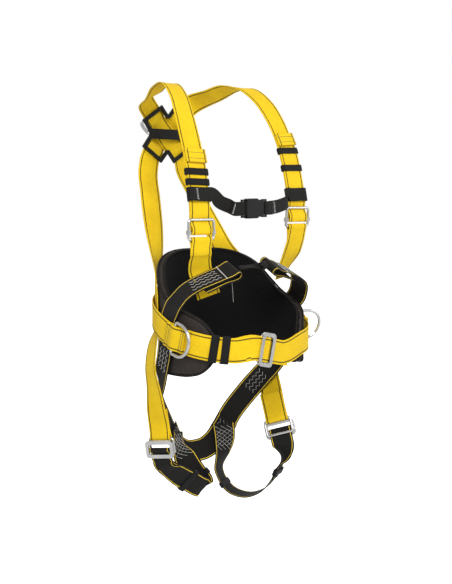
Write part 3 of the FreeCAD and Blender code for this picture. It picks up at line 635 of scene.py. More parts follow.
@dataclass(frozen=True)
class Webbing(Finish):
    """Woven webbing with a line inside each edge."""

    line: Colour = (0.02, 0.02, 0.02)
    line_at: float = 18.4
    line_width: float = 1.3
    dash: float = 3.2
    dash_share: float = 0.72
    rib: float = 2.1
    yarn: float = 1.1
    depth: float = 0.22
    # painted shade: how much darker the base colour is made in the weave's grooves
    painted_groove_shade: float = 0.12

    def wire(self, w: Wiring, shader: bpy.types.Node) -> None:
        """Weave with shade painted into its grooves, woven lines and uneven dye."""
        cloth = w.add("ShaderNodeUVMap", uv_map="cloth")
        parts = w.add("ShaderNodeSeparateXYZ", {0: cloth.outputs["UV"]})
        along, across = parts.outputs[0], parts.outputs[1]
        weave = w.group(weave_group(), {"Along": along, "Across": across,
                                        "Rib Pitch": self.rib * MM, "Yarn Pitch": self.yarn * MM})
        line = w.group(line_group(), {"Along": along, "Across": across,
                                      "Line At": self.line_at * MM,
                                      "Line Width": self.line_width * MM,
                                      "Dash Pitch": self.dash * MM, "Dash Share": self.dash_share})
        plain = self.tone(w, 16.0, 0.8, 1.14)
        # Painted shade: the base colour darkens towards the low parts of the weave, in its grooves.
        dark = tuple(c * (1 - 3 * self.painted_groove_shade) for c in self.colour) + (1.0,)
        painted_groove_shade = w.blend(w.math("MULTIPLY", w.math("SUBTRACT", 1.0, weave), 0.55), plain, dark)
        w.fill(shader, {"Base Color": w.blend(line, painted_groove_shade, (*self.line, 1.0)),
                        "Roughness": self.roughness, "Sheen Weight": 0.04,
                        "Sheen Roughness": 0.45, "Specular IOR Level": 0.22})
        self.bump(w, shader, weave, self.depth * MM)


@dataclass(frozen=True)
class Pebbled(Finish):
    """Leather cloth or moulded plastic with a fine grain."""

    scale: float = 900.0
    depth: float = 0.08
    tone_scale: float = 14.0
    shine: float = 0.25

    def wire(self, w: Wiring, shader: bpy.types.Node) -> None:
        """Grain with an uneven tone and gloss."""
        grain = w.group(grain_group(), {"Scale": self.scale})
        gloss = w.math("ADD", w.math("MULTIPLY", grain, 0.12), self.roughness - 0.06)
        w.fill(shader, {"Base Color": self.tone(w, self.tone_scale, 0.7, 1.3),
                        "Roughness": gloss, "Specular IOR Level": self.shine})
        self.bump(w, shader, grain, self.depth * MM)


@dataclass(frozen=True)
class Zinc(Finish):
    """Bright plated steel with fine draw marks and dulled patches."""

    scratch: float = 420.0

    def wire(self, w: Wiring, shader: bpy.types.Node) -> None:
        """Plating, patches and scratches."""
        where = w.add("ShaderNodeTexCoord").outputs["Object"]
        marks = w.add("ShaderNodeTexNoise", {"Vector": where, "Scale": self.scratch,
                                             "Detail": 4.0})
        patch = w.add("ShaderNodeTexNoise", {"Vector": where, "Scale": 45.0, "Detail": 3.0})
        rough = w.math("ADD", w.math("MULTIPLY", patch.outputs["Fac"], 0.22), self.roughness - 0.1)
        w.fill(shader, {"Base Color": self.tone(w, 40.0, 0.82, 1.08), "Roughness": rough,
                        "Metallic": 1.0})
        self.bump(w, shader, marks.outputs["Fac"], 0.03 * MM, 0.6)


@dataclass(frozen=True)
class Thread(Finish):
    """Twisted sewing thread."""

    def wire(self, w: Wiring, shader: bpy.types.Node) -> None:
        """Uneven thread tone."""
        w.fill(shader, {"Base Color": self.tone(w, 300.0, 0.75, 1.15),
                        "Roughness": self.roughness, "Sheen Weight": 0.3})


YELLOW = Webbing("yellow webbing", "webbing_yellow", (0.95, 0.61, 0.008), 0.75,
                 line=(0.006, 0.0055, 0.004), line_at=18.2, line_width=2.3, dash_share=0.88)
BLACK = Webbing("black webbing", "webbing_black", (0.007, 0.0062, 0.0056), 0.7,
                line=(0.86, 0.6, 0.05), line_at=19.4, line_width=1.3, dash=2.0,
                dash_share=1.1, rib=2.2, yarn=1.3, depth=0.3, painted_groove_shade=0.15)
CHEST_TAPE = Webbing("chest tape", "tape_black", (0.0065, 0.0058, 0.0052), 0.66, line_at=0.3,
                     line_width=0.0, rib=1.9, yarn=1.2, depth=0.28, painted_groove_shade=0.15)
ELASTIC = Webbing("black elastic", "elastic_black", (0.005, 0.0048, 0.0046), 0.62, line_at=0.3,
                  line_width=0.0, rib=1.5, yarn=1.5, depth=0.25, painted_groove_shade=0.15)
LEATHER = Pebbled("pad leather cloth", "pad_cover", (0.028, 0.022, 0.019), 0.54, 620.0, 0.1)
PIPING = Pebbled("pad piping", "pad_cover", (0.007, 0.006, 0.0055), 0.62, 800.0, 0.06)
LINING = Pebbled("pad spacer mesh", "pad_lining", (0.003, 0.003, 0.0033), 0.95, 380.0, 0.5)
PLATE = Pebbled("plate plastic", "plastic_plate", (0.0035, 0.0035, 0.0036), 0.52, 1300.0, 0.05)
BUCKLE = Pebbled("buckle plastic", "plastic_black", (0.0035, 0.0035, 0.0036), 0.4, 1500.0, 0.03)
STEEL = Zinc("zinc steel", "steel_zinc", (0.7, 0.7, 0.69), 0.25)
GREY_THREAD = Thread("grey thread", "webbing_black", (0.62, 0.6, 0.57), 0.7)
WHITE_THREAD = Thread("white thread", "tape_black", (0.85, 0.84, 0.82), 0.7)
DARK_THREAD = Thread("dark thread", "webbing_yellow", (0.03, 0.027, 0.02), 0.7)


def dress(piece: bpy.types.Object, finish: Finish, body: str, *nodes: str) -> bpy.types.Object:
    """Give a piece its finish, its body and the solids that it stands for.

    Args:
        piece: The piece.
        finish: Its finish.
        body: Name of the body that it rides on.
        *nodes: Solids that it replaces.

    Returns:
        The piece.
    """
    if not piece.data.materials:
        piece.data.materials.append(finish.material())
    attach(piece, body)
    if nodes:
        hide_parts(*nodes)
    log.info("%s: %d faces", piece.name, len(piece.data.polygons))
    return piece


# ---- stitching ------------------------------------------------------------------------------
def thread_tree() -> bpy.types.NodeTree:
    """Geometry nodes that lay a round thread along every edge."""
    tree = bpy.data.node_groups.get("sewing thread")
    if tree:
        return tree
    tree = bpy.data.node_groups.new("sewing thread", "GeometryNodeTree")
    face = tree.interface
    face.new_socket("Geometry", in_out="INPUT", socket_type="NodeSocketGeometry")
    face.new_socket("Radius", in_out="INPUT", socket_type="NodeSocketFloat").default_value = 0.0004
    face.new_socket("Sides", in_out="INPUT", socket_type="NodeSocketInt").default_value = 5
    face.new_socket("Finish", in_out="INPUT", socket_type="NodeSocketMaterial")
    face.new_socket("Geometry", in_out="OUTPUT", socket_type="NodeSocketGeometry")
    w = Wiring(tree)
    given = w.add("NodeGroupInput")
    line = w.add("GeometryNodeMeshToCurve", {0: given.outputs["Geometry"]})
    ring = w.add("GeometryNodeCurvePrimitiveCircle", {"Radius": given.outputs["Radius"],
                                                      "Resolution": given.outputs["Sides"]})
    tube = w.add("GeometryNodeCurveToMesh", {"Curve": line.outputs[0],
                                             "Profile Curve": ring.outputs["Curve"],
                                             "Fill Caps": True})
    smooth = w.add("GeometryNodeSetShadeSmooth", {"Geometry": tube.outputs[0]})
    real = w.add("GeometryNodeRealizeInstances", {"Geometry": smooth.outputs[0]})
    painted = w.add("GeometryNodeSetMaterial", {"Geometry": real.outputs[0],
                                                "Material": given.outputs["Finish"]})
    w.add("NodeGroupOutput", {0: painted.outputs[0]})
    return tree


def sewn(name: str, lines: Sequence[Sequence[Vector]], radius: float, finish: Finish,
         closed: bool = False, sides: int = 5) -> bpy.types.Object:
    """Lay thread, cord or piping along lines.

    Args:
        name: Object name.
        lines: Points of each line, in millimetres.
        radius: Thread radius in millimetres.
        finish: Thread finish.
        closed: Whether each line ends where it starts.
        sides: Sides of the thread's section.

    Returns:
        The thread.
    """
    verts, edges = [], []
    for line in lines:
        first = len(verts)
        verts += line
        edges += [(first + k, first + k + 1) for k in range(len(line) - 1)]
        if closed:
            edges.append((len(verts) - 1, first))
    piece = new_piece(name, verts, [], edges=edges)
    tree = thread_tree()
    modifier = piece.modifiers.new("thread", "NODES")
    modifier.node_group = tree
    values = {"Radius": radius * MM, "Sides": sides, "Finish": finish.material()}
    for item in tree.interface.items_tree:
        if item.in_out == "INPUT" and item.name in values:
            modifier[item.identifier] = values[item.name]
    return dress(settled(piece), finish, ROOT)


def zigzag(route: Route, start: float, end: float, across: float, reach: float, pitch: float,
           lift: float) -> list[Vector]:
    """A row of zigzag stitching along a route.

    Args:
        route: The webbing's route.
        start: Where it starts along the route.
        end: Where it ends.
        across: The row's distance across.
        reach: Half of its width.
        pitch: Length of one stitch.
        lift: Height over the route.

    Returns:
        The row's points.
    """
    count = max(2, int(abs(end - start) / pitch))
    return [route.at(start + (end - start) * k / count, across + reach * (1 if k % 2 else -1),
                     lift) for k in range(count + 1)]


def tack(route: Route, along: float, low: float, high: float, lift: float,
         wide: float = 1.6) -> list[Vector]:
    """A dense bar tack across a route.

    Args:
        route: The webbing's route.
        along: Its distance along the route.
        low: Where it starts across.
        high: Where it ends.
        lift: Height over the route.
        wide: Length of its stitches along the route.

    Returns:
        The tack's points.
    """
    count = max(6, int(abs(high - low) / 0.75))
    return [route.at(along + (wide / 2 if k % 2 else -wide / 2), low + (high - low) * k / count,
                     lift) for k in range(count + 1)]


# ---- waist ------------------------------------------------------------------------------------
@dataclass
class Waist:
    """Plan of the waist belt, and places on it."""

    half_width: float = 153.0
    half_depth: float = 114.0
    power: float = 2.5

    def point(self, angle: float, shrink: float = 0.0) -> tuple[float, float]:
        """Plan point; 0 degrees is the back and 90 the wearer's right."""
        s, c = math.sin(math.radians(angle)), math.cos(math.radians(angle))
        x = -math.copysign(abs(s) ** (2 / self.power), s) * (self.half_width - shrink)
        y = math.copysign(abs(c) ** (2 / self.power), c) * (self.half_depth - shrink)
        return x, y

    def stations(self, start: float, end: float, step: float, lift: float = 0.0) -> list[Station]:
        """Stations round the waist between two plan angles."""
        count = max(2, int(round(abs(end - start) / step)))
        found = []
        for k in range(count + 1):
            x, y = self.point(start + (end - start) * k / count)
            height = 3.0 + 0.27 * y + 0.18 * max(0.0, y)
            found.append((Vector((x, y, height)), Vector((0, 0, -1))))
        return Route(found).lifted(lift) if lift else found

    def place(self, angle: float) -> Place:
        """Axes on the belt at a plan angle."""
        return Route(self.stations(angle - 2, angle + 2, 2)).place(1)


@dataclass
class LinkBuckle:
    """Stations of webbing through a two-part link buckle."""

    place: Place
    ring_along: float = 5.0
    ring_out: float = -6.6
    ring_length: float = 29.0
    link_out: float = 3.2
    link_thick: float = 3.0
    pin: float = 1.5

    def ring_wrap(self, stub: float, flip: int) -> list[Station]:
        """Webbing that comes along -a, turns round the ring's far bar and goes back."""
        p, far, out = self.place, self.ring_along + self.ring_length / 2, self.ring_out
        return ([p.stop(far + 24, out + LAYER / 2, flip),
                 p.stop(far + 9, out + LAYER / 2 + 1.2, flip)]
                + p.bend(far, out, WRAP, 0, -180, 7, flip)
                + [p.stop(far + 9, out - LAYER / 2 - 1.2, flip),
                   p.stop(far + stub * 0.6, out - LAYER / 2, flip),
                   p.stop(far + stub, out - LAYER / 2, flip)])

    def link_wrap(self, flip: int) -> list[Station]:
        """Webbing from behind the link, over its middle bar and back behind it."""
        p, out = self.place, self.link_out
        low = out - self.link_thick / 2 - GAP - THICK / 2
        turn = self.pin + GAP + THICK / 2
        stops = [(-30, low - LAYER), (-18, low - LAYER), (-8, low - LAYER + 0.3),
                 (-3, out - turn), (0.6, out - turn + 0.1), (2.2, out - 1.8), (2.9, out),
                 (2.2, out + 1.8), (0.2, out + turn), (-2.8, out + 2.0), (-5.2, low + 1.9),
                 (-7.6, low + 0.3), (-10.6, low - 0.1), (-18, low - 0.1)]
        return [p.stop(along, lift, flip) for along, lift in stops]


ADJUSTER = {Side.RIGHT: Place((-118, -56, 189), (0, -0.03, 1), (1, 0, 0)),
            Side.LEFT: Place((118, -54, 209), (0, -0.08, 1), (1, 0, 0))}
PLATE_PLACE = Place((0, 198, 372), (0, 0.03, -1), (1, 0, 0))
LEG_BUCKLE = {Side.RIGHT: LinkBuckle(Place((-133, 48, -222), (-0.1, 0.1, 0.99), (0.35, -0.93, 0))),
              Side.LEFT: LinkBuckle(Place((131, 6, -214), (0.02, 0.36, 0.93), (-0.6, 0.8, 0)))}
BELT_BUCKLE = LinkBuckle(Place((-20, -119, -27), (0.97, 0, -0.22), (-0.22, 0, -0.97)))
WAIST = Waist()

CHEST_RUN = rows([((-118, -48, 250), (1, 0, 0)), ((-117, -40, 290), (1, 0, 0)),
                  ((-116, -30, 326), (1, 0, 0)), ((-114, -15, 362), (1, 0, 0)),
                  ((-110, 3, 396), (1, 0.05, 0)), ((-103, 28, 430), (1, 0.1, 0))])


@dataclass
class ShoulderStraps:
    """The two long yellow straps with their folded tips and keepers."""

    frame_length: float = 35.0
    slide_bar: float = -5.0
    travel: float = 5.0
    crest: dict[Side, list[Station]] = fixed({
        Side.RIGHT: rows([((-93, 68, 455), (1, 0.15, 0)), ((-86, 106, 453), (1, 0.2, 0.15)),
                          ((-76, 140, 441), (0.95, 0.15, 0.35))]),
        Side.LEFT: rows([((-93, 70, 458), (1, 0.15, 0)), ((-84, 106, 460), (1, 0.2, 0.15)),
                         ((-71, 141, 449), (0.95, 0.15, 0.35))])})
    back: list[Station] = fixed(rows([
        ((45, 203, 302), (0.9, 0.1, 0.35)), ((58, 179, 250), (0.85, 0.2, 0.35)),
        ((73, 148, 190), (0.85, 0.1, 0.35)), ((88, 120, 134), (0.8, -0.3, 0.35)),
        ((105, 99, 104), (0.65, -0.65, 0.3)), ((121.5, 77, 86), (0.55, -0.8, 0.15)),
        ((131.8, 60.5, 60), (0.5, -0.86, 0)), ((133.2, 58, 28), (0.5, -0.86, 0)),
        ((133.2, 58, 4), (0.5, -0.86, 0)), ((141, 60, -26), (0.3, -0.95, 0))]))
    drop: dict[Side, list[Station]] = fixed({
        Side.RIGHT: rows([((-146.5, 60, -68), (0.2, 0.98, 0)), ((-141, 57, -112), (0, 1, 0)),
                          ((-138, 54, -150), (-0.25, 0.96, 0))]),
        Side.LEFT: rows([((146.5, 60, -68), (0.2, -0.98, 0)), ((143.5, 53, -104), (0.2, -0.97, 0)),
                         ((138, 39, -142), (0.45, -0.9, 0))])})
    tail: dict[Side, int] = fixed({Side.RIGHT: 3, Side.LEFT: 4})
    keepers: dict[Side, list[tuple[int, float]]] = fixed({
        Side.RIGHT: [(0, 0.55), (1, 0.0)], Side.LEFT: [(1, 0.3), (2, 0.2)]})

    def route(self, side: Side) -> Route:
        """The whole run of one strap, from its folded tip to the leg buckle."""
        place, low = ADJUSTER[side], self.frame_length / 2
        run = on_side(CHEST_RUN, side)
        tail = Route(on_side(CHEST_RUN[:self.tail[side]], side)).lifted(TAIL)
        stops = tail[::-1] + [place.stop(low + 9, 0.4 - WRAP), place.stop(low, -WRAP - 0.1),
                              place.stop(low - 7, -1.2),
                              place.stop(self.slide_bar + self.travel + 2.5, WRAP)]
        stops += place.bend(self.slide_bar, 0, WRAP, 0, -180, 7)
        stops += [place.stop(self.slide_bar + self.travel + 3, -WRAP - 0.1),
                  place.stop(low - 4, -WRAP - 1.6), place.stop(low + 9, -WRAP - 2.4)]
        stops += run + on_side(self.crest[side], side) + self.crossing(side)
        stops += on_side(mirrored(self.back), side.other) + self.drop[side.other]
        return Route(stops + LEG_BUCKLE[side.other].ring_wrap(55, -1))

    def crossing(self, side: Side) -> list[Station]:
        """Stations over the back plate and the dorsal ring's bar."""
        half_thick, wire, across, down = 2.0, 3.5, 37.5, 41.0
        lobe = half_thick + 1.0 + THICK / 2
        top = half_thick + 2 * GAP + 2 * wire + THICK / 2
        top += LAYER + 0.9 if side is Side.LEFT else 0.0
        stops = []
        for share, out in ((-1.35, lobe - 2), (-1.0, lobe), (-0.66, lobe + 2.2), (-0.45, top),
                           (0, top), (0.45, top), (0.66, lobe + 2.2), (1.0, lobe)):
            point = PLATE_PLACE.at(down * share, out, -side.sign * across * share)
            stops.append((point, Vector((down, 0, -side.sign * across))))
        return stops

    def build(self) -> None:
        """Make both straps, their tips, seams and keepers."""
        for side in Side:
            strap = sweep(f"shoulder_webbing_{side.value}", self.route(side), THICK)
            dress(strap, YELLOW, ROOT, f"shoulder_strap_{side.value}")
            self.tip(side)
            for number, (index, share) in enumerate(self.keepers[side], 1):
                name = f"shoulder_keeper_{side.value}_{number}"
                keeper(name, name, Route(on_side(CHEST_RUN, side)).place(index, share),
                       TAIL + HALF)

    def tip(self, side: Side) -> None:
        """The tail's end, rolled over twice and sewn through."""
        place = Route(on_side(CHEST_RUN, side)).place(self.tail[side] - 1)
        rise = 2 * LAYER + 0.5 + THICK
        profile = [(4, 0.0), (3.4, 1.3), (0.0, 1.9), (-4.0, 1.0), (-8.0, 1.9), (-11.5, 1.9),
                   (-15.0, 1.0), (-18.5, 1.9), (-21.4, 1.4), (-22, 0.0)]
        lower = [(-21.4, -1.6), (-9.0, -1.75), (3.4, -1.6)]
        loop = profile + lower
        verts = []
        cuts = 13
        for i in range(cuts):
            across = -WEB / 2 + WEB * i / (cuts - 1)
            squeeze = 1.0 - 0.35 * abs(2 * i / (cuts - 1) - 1) ** 8
            verts += [place.at(x, rise + y * squeeze, across) for x, y in loop]
        count = len(loop)
        faces, uvs = joined(cuts, count, lambda i, j: (
            loop[j][0] * MM, (-WEB / 2 + WEB * i / (cuts - 1)) * MM))
        for i in (0, cuts - 1):
            faces.append([i * count + j for j in range(count)])
            uvs += [(x * MM, 0.0) for x, _ in loop]
        piece = outward(new_piece(f"folded_tip_{side.value}", verts, faces, uvs))
        dress(piece, YELLOW, ROOT, f"strap_tail_stop_{side.value}")
        seams = [[place.at(along, rise + 1.15, -WEB / 2 + 2 + 41 * k / 20) for k in range(21)]
                 for along in (-4.0, -15.0)]
        sewn(f"tip_seams_{side.value}", seams, 0.35, DARK_THREAD)


@dataclass
class FrontStraps:
    """Lower front straps, from the adjusters to the front loops."""

    runs: dict[Side, list[Station]] = fixed({
        Side.RIGHT: rows([((-117, -55, 148), (1, 0, 0)), ((-112, -44, 130), (1, -0.08, 0)),
                          ((-104, -36, 114), (0.96, -0.25, 0.05)),
                          ((-97, -36, 98), (0.93, -0.33, 0.05)),
                          ((-91, -37, 82), (0.93, -0.33, 0)), ((-87, -39, 68), (0.93, -0.33, 0))]),
        Side.LEFT: rows([((117, -49, 160), (1, 0, 0)), ((115, -43, 142), (1, 0, 0)),
                         ((112, -32, 122), (1, 0.2, 0)), ((110, -22, 104), (1, 0.4, 0)),
                         ((109, -17, 90), (1, 0.45, 0))])})

    def build(self) -> None:
        """Make both straps."""
        for side in Side:
            place, low = ADJUSTER[side], -ShoulderStraps().frame_length / 2
            stops = [place.stop(low - 30, -LAYER / 2), place.stop(low - 18, -LAYER / 2),
                     place.stop(low - 9, -LAYER / 2 - 1.2)]
            stops += place.bend(low, 0, WRAP, 180, 0, 7)
            stops += [place.stop(low - 9, LAYER / 2 + 1.2), place.stop(low - 18, LAYER / 2)]
            route = Route(stops + self.runs[side])
            strap = sweep(f"front_webbing_{side.value}", route, THICK)
            dress(strap, YELLOW, ROOT, f"lower_front_strap_{side.value}")


@dataclass
class HipStraps:
    """Black straps from the front eyes round the hips to the seat."""

    eyes: dict[Side, Place] = fixed({
        Side.RIGHT: Place((-52, -71, 117), (0.93, -0.12, 0.34), (-0.2, -0.78, -0.5)),
        Side.LEFT: Place((-22, -77, 121), (0.95, -0.14, 0.28), (-0.2, -0.78, -0.5))})
    eye_radius: float = 7.0
    eye_back: dict[Side, list[int]] = fixed({
        Side.RIGHT: [-78, -50, -30], Side.LEFT: [-62, -46, -30]})
    eye_run: dict[Side, list[Station]] = fixed({
        Side.RIGHT: [], Side.LEFT: rows([((-60, -72.5, 116), (0.18, 0.80, 0.47))])})
    run: list[Station] = fixed(rows([
        ((-82, -67, 110), (0.18, 0.80, 0.45)), ((-104, -62, 102), (0.17, 0.80, 0.43)),
        ((-125, -51, 92), (0.14, 0.85, 0.4)), ((-141, -37, 78), (0.12, 0.88, 0.35)),
        ((-150, -22, 58), (0.08, 0.95, 0.25)), ((-150, -5, 38), (0.03, 0.99, 0.1)),
        ((-149.3, 5, 14), (0.03, 1, 0)), ((-149.3, 9, -12), (0.05, 1, 0)),
        ((-148.5, 15, -40), (0.08, 0.99, 0.05)), ((-145, 28, -72), (0.15, 0.96, 0.2)),
        ((-126, 57, -112), (0.45, 0.8, 0.35)), ((-106, 80, -148), (0.65, 0.6, 0.45)),
        ((-80, 95, -186), (0.69, 0.53, 0.49)), ((-64, 100, -212), (0.69, 0.53, 0.49)),
        ((-48, 104, -236), (0.69, 0.53, 0.49))]))

    def route(self, side: Side) -> Route:
        """Front eye, hip and buttock in one length."""
        e, r = self.eyes[side], self.eye_radius
        far, middle, near = self.eye_back[side]
        stops = [e.stop(far, -LAYER - 1.0, -1), e.stop(middle, -LAYER - 1.0, -1),
                 e.stop(near, -LAYER - 1.6, -1), e.stop(-16, 0.6 - r, -1)]
        stops += e.bend(-7, 0, r, 180, 0, 9, -1) + [e.stop(-16, r - 1.4, -1)]
        stops += self.eye_run[side] + self.run
        return Route(on_side(stops, side))

    def build(self) -> None:
        """Make both straps and their stitching."""
        for side in Side:
            route = self.route(side)
            strap = sweep(f"hip_webbing_{side.value}", route, THICK)
            dress(strap, BLACK, ROOT, f"hip_strap_{side.value}")
            lift, shift = HALF + THREAD_LIFT, len(self.eye_run[side])
            first, hip = route.marks[14], route.marks[22 + shift]
            seat = route.marks[24 + shift]
            lines = [zigzag(route, first + 6, first + 60, across, 1.7, 4.6, lift)
                     for across in (-11, -3, 5, 12)]
            lines += [zigzag(route, hip - 14, hip + 30, across, 2.6, 4.6, lift)
                      for across in (-10, 0, 10)]
            lines += [zigzag(route, seat - 8, seat + 38, across, 2.6, 4.8, face * lift)
                      for across in (-9, 0, 9) for face in (-1, 1)]
            sewn(f"hip_stitching_{side.value}", lines, 0.42, GREY_THREAD)
            cross = [tack(route, first - 2, -21, 21, lift, 1.4)]
            sewn(f"eye_seam_{side.value}", cross, 0.5, WHITE_THREAD)


@dataclass
class SeatAndLegs:
    """Seat strap and leg straps with their keepers."""

    seat: list[Station] = fixed(rows([
        ((-70, 95, -200), (0.69, 0.53, 0.49)), ((-54, 101, -226), (0.69, 0.53, 0.49)),
        ((-38, 105, -244), (0.5, 0.5, 0.7)), ((-18, 107, -254), (0.2, 0.45, 0.88)),
        ((0, 108, -256), (0, 0.42, 0.9))]))
    legs: dict[Side, list[Station]] = fixed({
        Side.RIGHT: rows([
            ((-57, 94, -207), (0.85, 0.46, -0.2)), ((-59, 88, -230), (0.85, 0.4, -0.1)),
            ((-52, 71, -262), (0.6, -0.3, 0.5)), ((-41, 51, -290), (0.42, -0.44, 0.75)),
            ((-36, 40, -303), (0.42, -0.44, 0.75)), ((-39, 35, -309), (0.42, -0.44, 0.75)),
            ((-48, 34, -306), (0.42, -0.44, 0.75)), ((-72, 36, -291), (0.42, -0.44, 0.75)),
            ((-98, 38, -274), (0.42, -0.55, 0.6))]),
        Side.LEFT: rows([
            ((57, 93, -207), (0.85, -0.46, 0.2)), ((57, 89, -232), (0.87, -0.3, 0.15)),
            ((54, 90, -264), (0.9, 0.1, 0.05)), ((53, 101, -303), (0.86, 0.5, 0)),
            ((67, 80, -341), (0.86, 0.51, 0)), ((86, 51, -349), (0.86, 0.51, 0)),
            ((104, 27, -338), (0.86, 0.51, 0)), ((119, 10, -312), (0.86, 0.51, 0)),
            ((127, 0, -282), (0.8, 0.6, 0)), ((130, -6, -262), (0.1, 0.99, 0))])})
    tails: dict[Side, list[int]] = fixed({
        Side.RIGHT: [7, 8], Side.LEFT: [7, 8, 9]})
    keepers: dict[Side, list[tuple[int, float, int]]] = fixed({
        Side.RIGHT: [(7, 0.2, 2), (3, 0.2, 1)], Side.LEFT: [(7, 0.5, 2), (3, 0.6, 1)]})

    def build(self) -> None:
        """Make the seat strap, the leg straps, their seams and keepers."""
        far = [(Vector((-p.x, p.y, p.z)), Vector((-s.x, s.y, s.z))) for p, s in self.seat[-2::-1]]
        seat = Route(Route(self.seat + far).lifted(-LAYER))
        dress(sweep("seat_webbing", seat, THICK), BLACK, ROOT, "seat_strap")
        joints = []
        for start, end in ((6, 34), (seat.length - 34, seat.length - 6)):
            joints += [zigzag(seat, start, end, across, 2.4, 5.0, -THICK / 2 - 0.25)
                       for across in (-12, -4, 4, 12)]
        sewn("seat_stitching", joints, 0.32, GREY_THREAD)
        for side in Side:
            run = self.legs[side]
            spots = Route([run[i] for i in self.tails[side]][::-1])
            route = Route(run + LEG_BUCKLE[side].link_wrap(1) + spots.lifted(-LAYER))
            strap = sweep(f"leg_webbing_{side.value}", route, THICK)
            dress(strap, BLACK, ROOT, f"leg_strap_{side.value}")
            lift = HALF + THREAD_LIFT
            crossed = [zigzag(route, start, start + 40, across, 5.4, 8.0, face * lift)
                       for across in (-11.5, 0, 11.5) for start in (4, 12) for face in (-1, 1)]
            sewn(f"leg_stitching_{side.value}", crossed, 0.42, GREY_THREAD)
            for number, (index, share, layers) in enumerate(self.keepers[side], 1):
                keeper(f"leg_keeper_{side.value}_{number}", ROOT,
                       Route(run).place(index, share), (layers - 1) * TAIL + HALF)


@dataclass
class WaistBelt:
    """Yellow waist webbing with its ring patches and keepers."""

    keepers: list[float] = fixed([135.5, 145.0])
    tail_end: float = 113.0
    ring_angle: float = 98.0
    ring_wire: float = 3.0
    keeper_side: float = 1.0
    keeper_air: float = 1.15
    keeper_length: float = 15.0
    keeper_wall: float = 1.25

    def build(self) -> None:
        """Make the belt, the patches over the rings' bars and the keepers."""
        tail = WAIST.stations(self.tail_end, 152, 6, TAIL)[::-1]
        stops = BELT_BUCKLE.ring_wrap(45, 1)[::-1] + WAIST.stations(-151, 152, 7)
        route = Route(stops + BELT_BUCKLE.link_wrap(1) + tail)
        dress(sweep("belt_webbing", route, THICK), YELLOW, ROOT, "waist_belt")
        for number, angle in enumerate(self.keepers, 1):
            name = f"belt_keeper_{number}"
            band = hoop(f"elastic_{name}", WAIST.place(angle), WEB / 2 + self.keeper_side,
                        -HALF - self.keeper_air, TAIL + HALF + self.keeper_air,
                        self.keeper_length, self.keeper_wall)
            dress(band, ELASTIC, name, name)
        for side in Side:
            self.patch(side)

    def patch(self, side: Side) -> None:
        """Second layer sewn down on both sides of a D-ring's bar."""
        place = WAIST.place(-side.sign * self.ring_angle)
        bump = THICK / 2 + GAP + 2 * self.ring_wire + GAP + THICK / 2
        stops = [(-24, LAYER), (-13, LAYER + 1), (-6, bump - 1.4), (0, bump), (6, bump - 1.4),
                 (13, LAYER + 1), (24, LAYER)]
        route = Route([place.stop(along, lift) for along, lift in stops])
        dress(sweep(f"ring_patch_{side.value}", route, THICK, 2.5), YELLOW, ROOT,
              f"d_ring_patch_{side.value}")
        seams = [tack(route, along, -20, 20, THICK / 2 + 0.2, 0.3)
                 for along in (3.5, 8.5, route.length - 8.5, route.length - 3.5)]
        sewn(f"patch_seams_{side.value}", seams, 0.35, DARK_THREAD)


@dataclass
class ChestStrap:
    """Black chest tape looped round both shoulder straps."""

    buckle: Place = fixed(Place((-4, -76, 226), (1, 0, 0.02), (0, 0, -1)))
    air: float = 1.5
    bar: float = 2.0
    right_bar: float = -37.0
    left_bar: float = 21.0

    def loop(self, side: Side) -> list[Station]:
        """Tape round a shoulder strap and its tail, ending towards the chest."""
        place = Route(on_side(CHEST_RUN, side)).place(0)
        layer = TAPE_THICK + GAP
        back = -THICK / 2 - self.air - TAPE_THICK / 2
        front = LAYER + 0.5 + THICK / 2 + self.air + TAPE_THICK / 2
        edge = WEB / 2 + 1.2 + TAPE_THICK / 2
        sign = -side.sign
        spots = [(4, front), (16, front), (edge - 2, front - 0.4), (edge, front - 2.5),
                 (edge, back + 2.5), (edge - 2.5, back), (10, back), (-10, back),
                 (2.5 - edge, back), (-edge, back + 2.5), (-edge, front - 0.5),
                 (2.5 - edge, front + layer), (-8, front + layer), (12, front + layer),
                 (edge + 4, front + layer)]
        return [(place.at(0, out, sign * across), place.a * -sign) for across, out in spots]

    def wrap(self, bar: float, sign: int) -> list[Station]:
        """Tape over a buckle's bar and back behind it."""
        p, turn = self.buckle, self.bar + GAP + TAPE_THICK / 2
        layer = TAPE_THICK + GAP
        return ([p.stop(bar + sign * 16, layer / 2), p.stop(bar + sign * 7, turn - 0.6)]
                + p.bend(bar, 0, turn, 0, -sign * 180, 7)
                + [p.stop(bar + sign * 7, 0.6 - turn), p.stop(bar + sign * 9.6, -layer / 2),
                   p.stop(bar + sign * 16, -layer / 2)])

    def build(self) -> None:
        """Make the tape's three lengths and their bar tacks."""
        down = Vector((0, 0, -1))
        right = [(Vector(p), down) for p in ((-78, -59, 238), (-62, -66, 230))]
        route = Route(self.loop(Side.RIGHT) + right + self.wrap(self.right_bar, -1), TAPE)
        dress(sweep("chest_tape_right", route, TAPE_THICK, 3.0), CHEST_TAPE, ROOT,
              "chest_strap_right")
        left = [(Vector(p), -down) for p in
                ((84, -62, 239), (62, -67, 231), (44, -69.5, 228), (30, -70.5, 227))]
        far = Route(self.loop(Side.LEFT) + left, TAPE)
        dress(sweep("chest_tape_left", far, TAPE_THICK, 3.0), CHEST_TAPE, ROOT, "chest_strap_left")
        fold = Route(self.wrap(self.left_bar, 1), TAPE)
        dress(sweep("chest_tape_fold", fold, TAPE_THICK, 3.0), CHEST_TAPE, "chest_plug",
              "chest_fold_left")
        lift = TAPE_THICK / 2 + 0.25
        tacks = []
        for line, station in ((route, 12), (far, 17)):
            tacks.append(tack(line, line.marks[station], -9.5, 9.5, lift, 4.2))
        tacks.append(tack(route, route.marks[17] - 2, -9, 9, lift, 1.8))
        sewn("chest_tacks", tacks, 0.45, WHITE_THREAD)


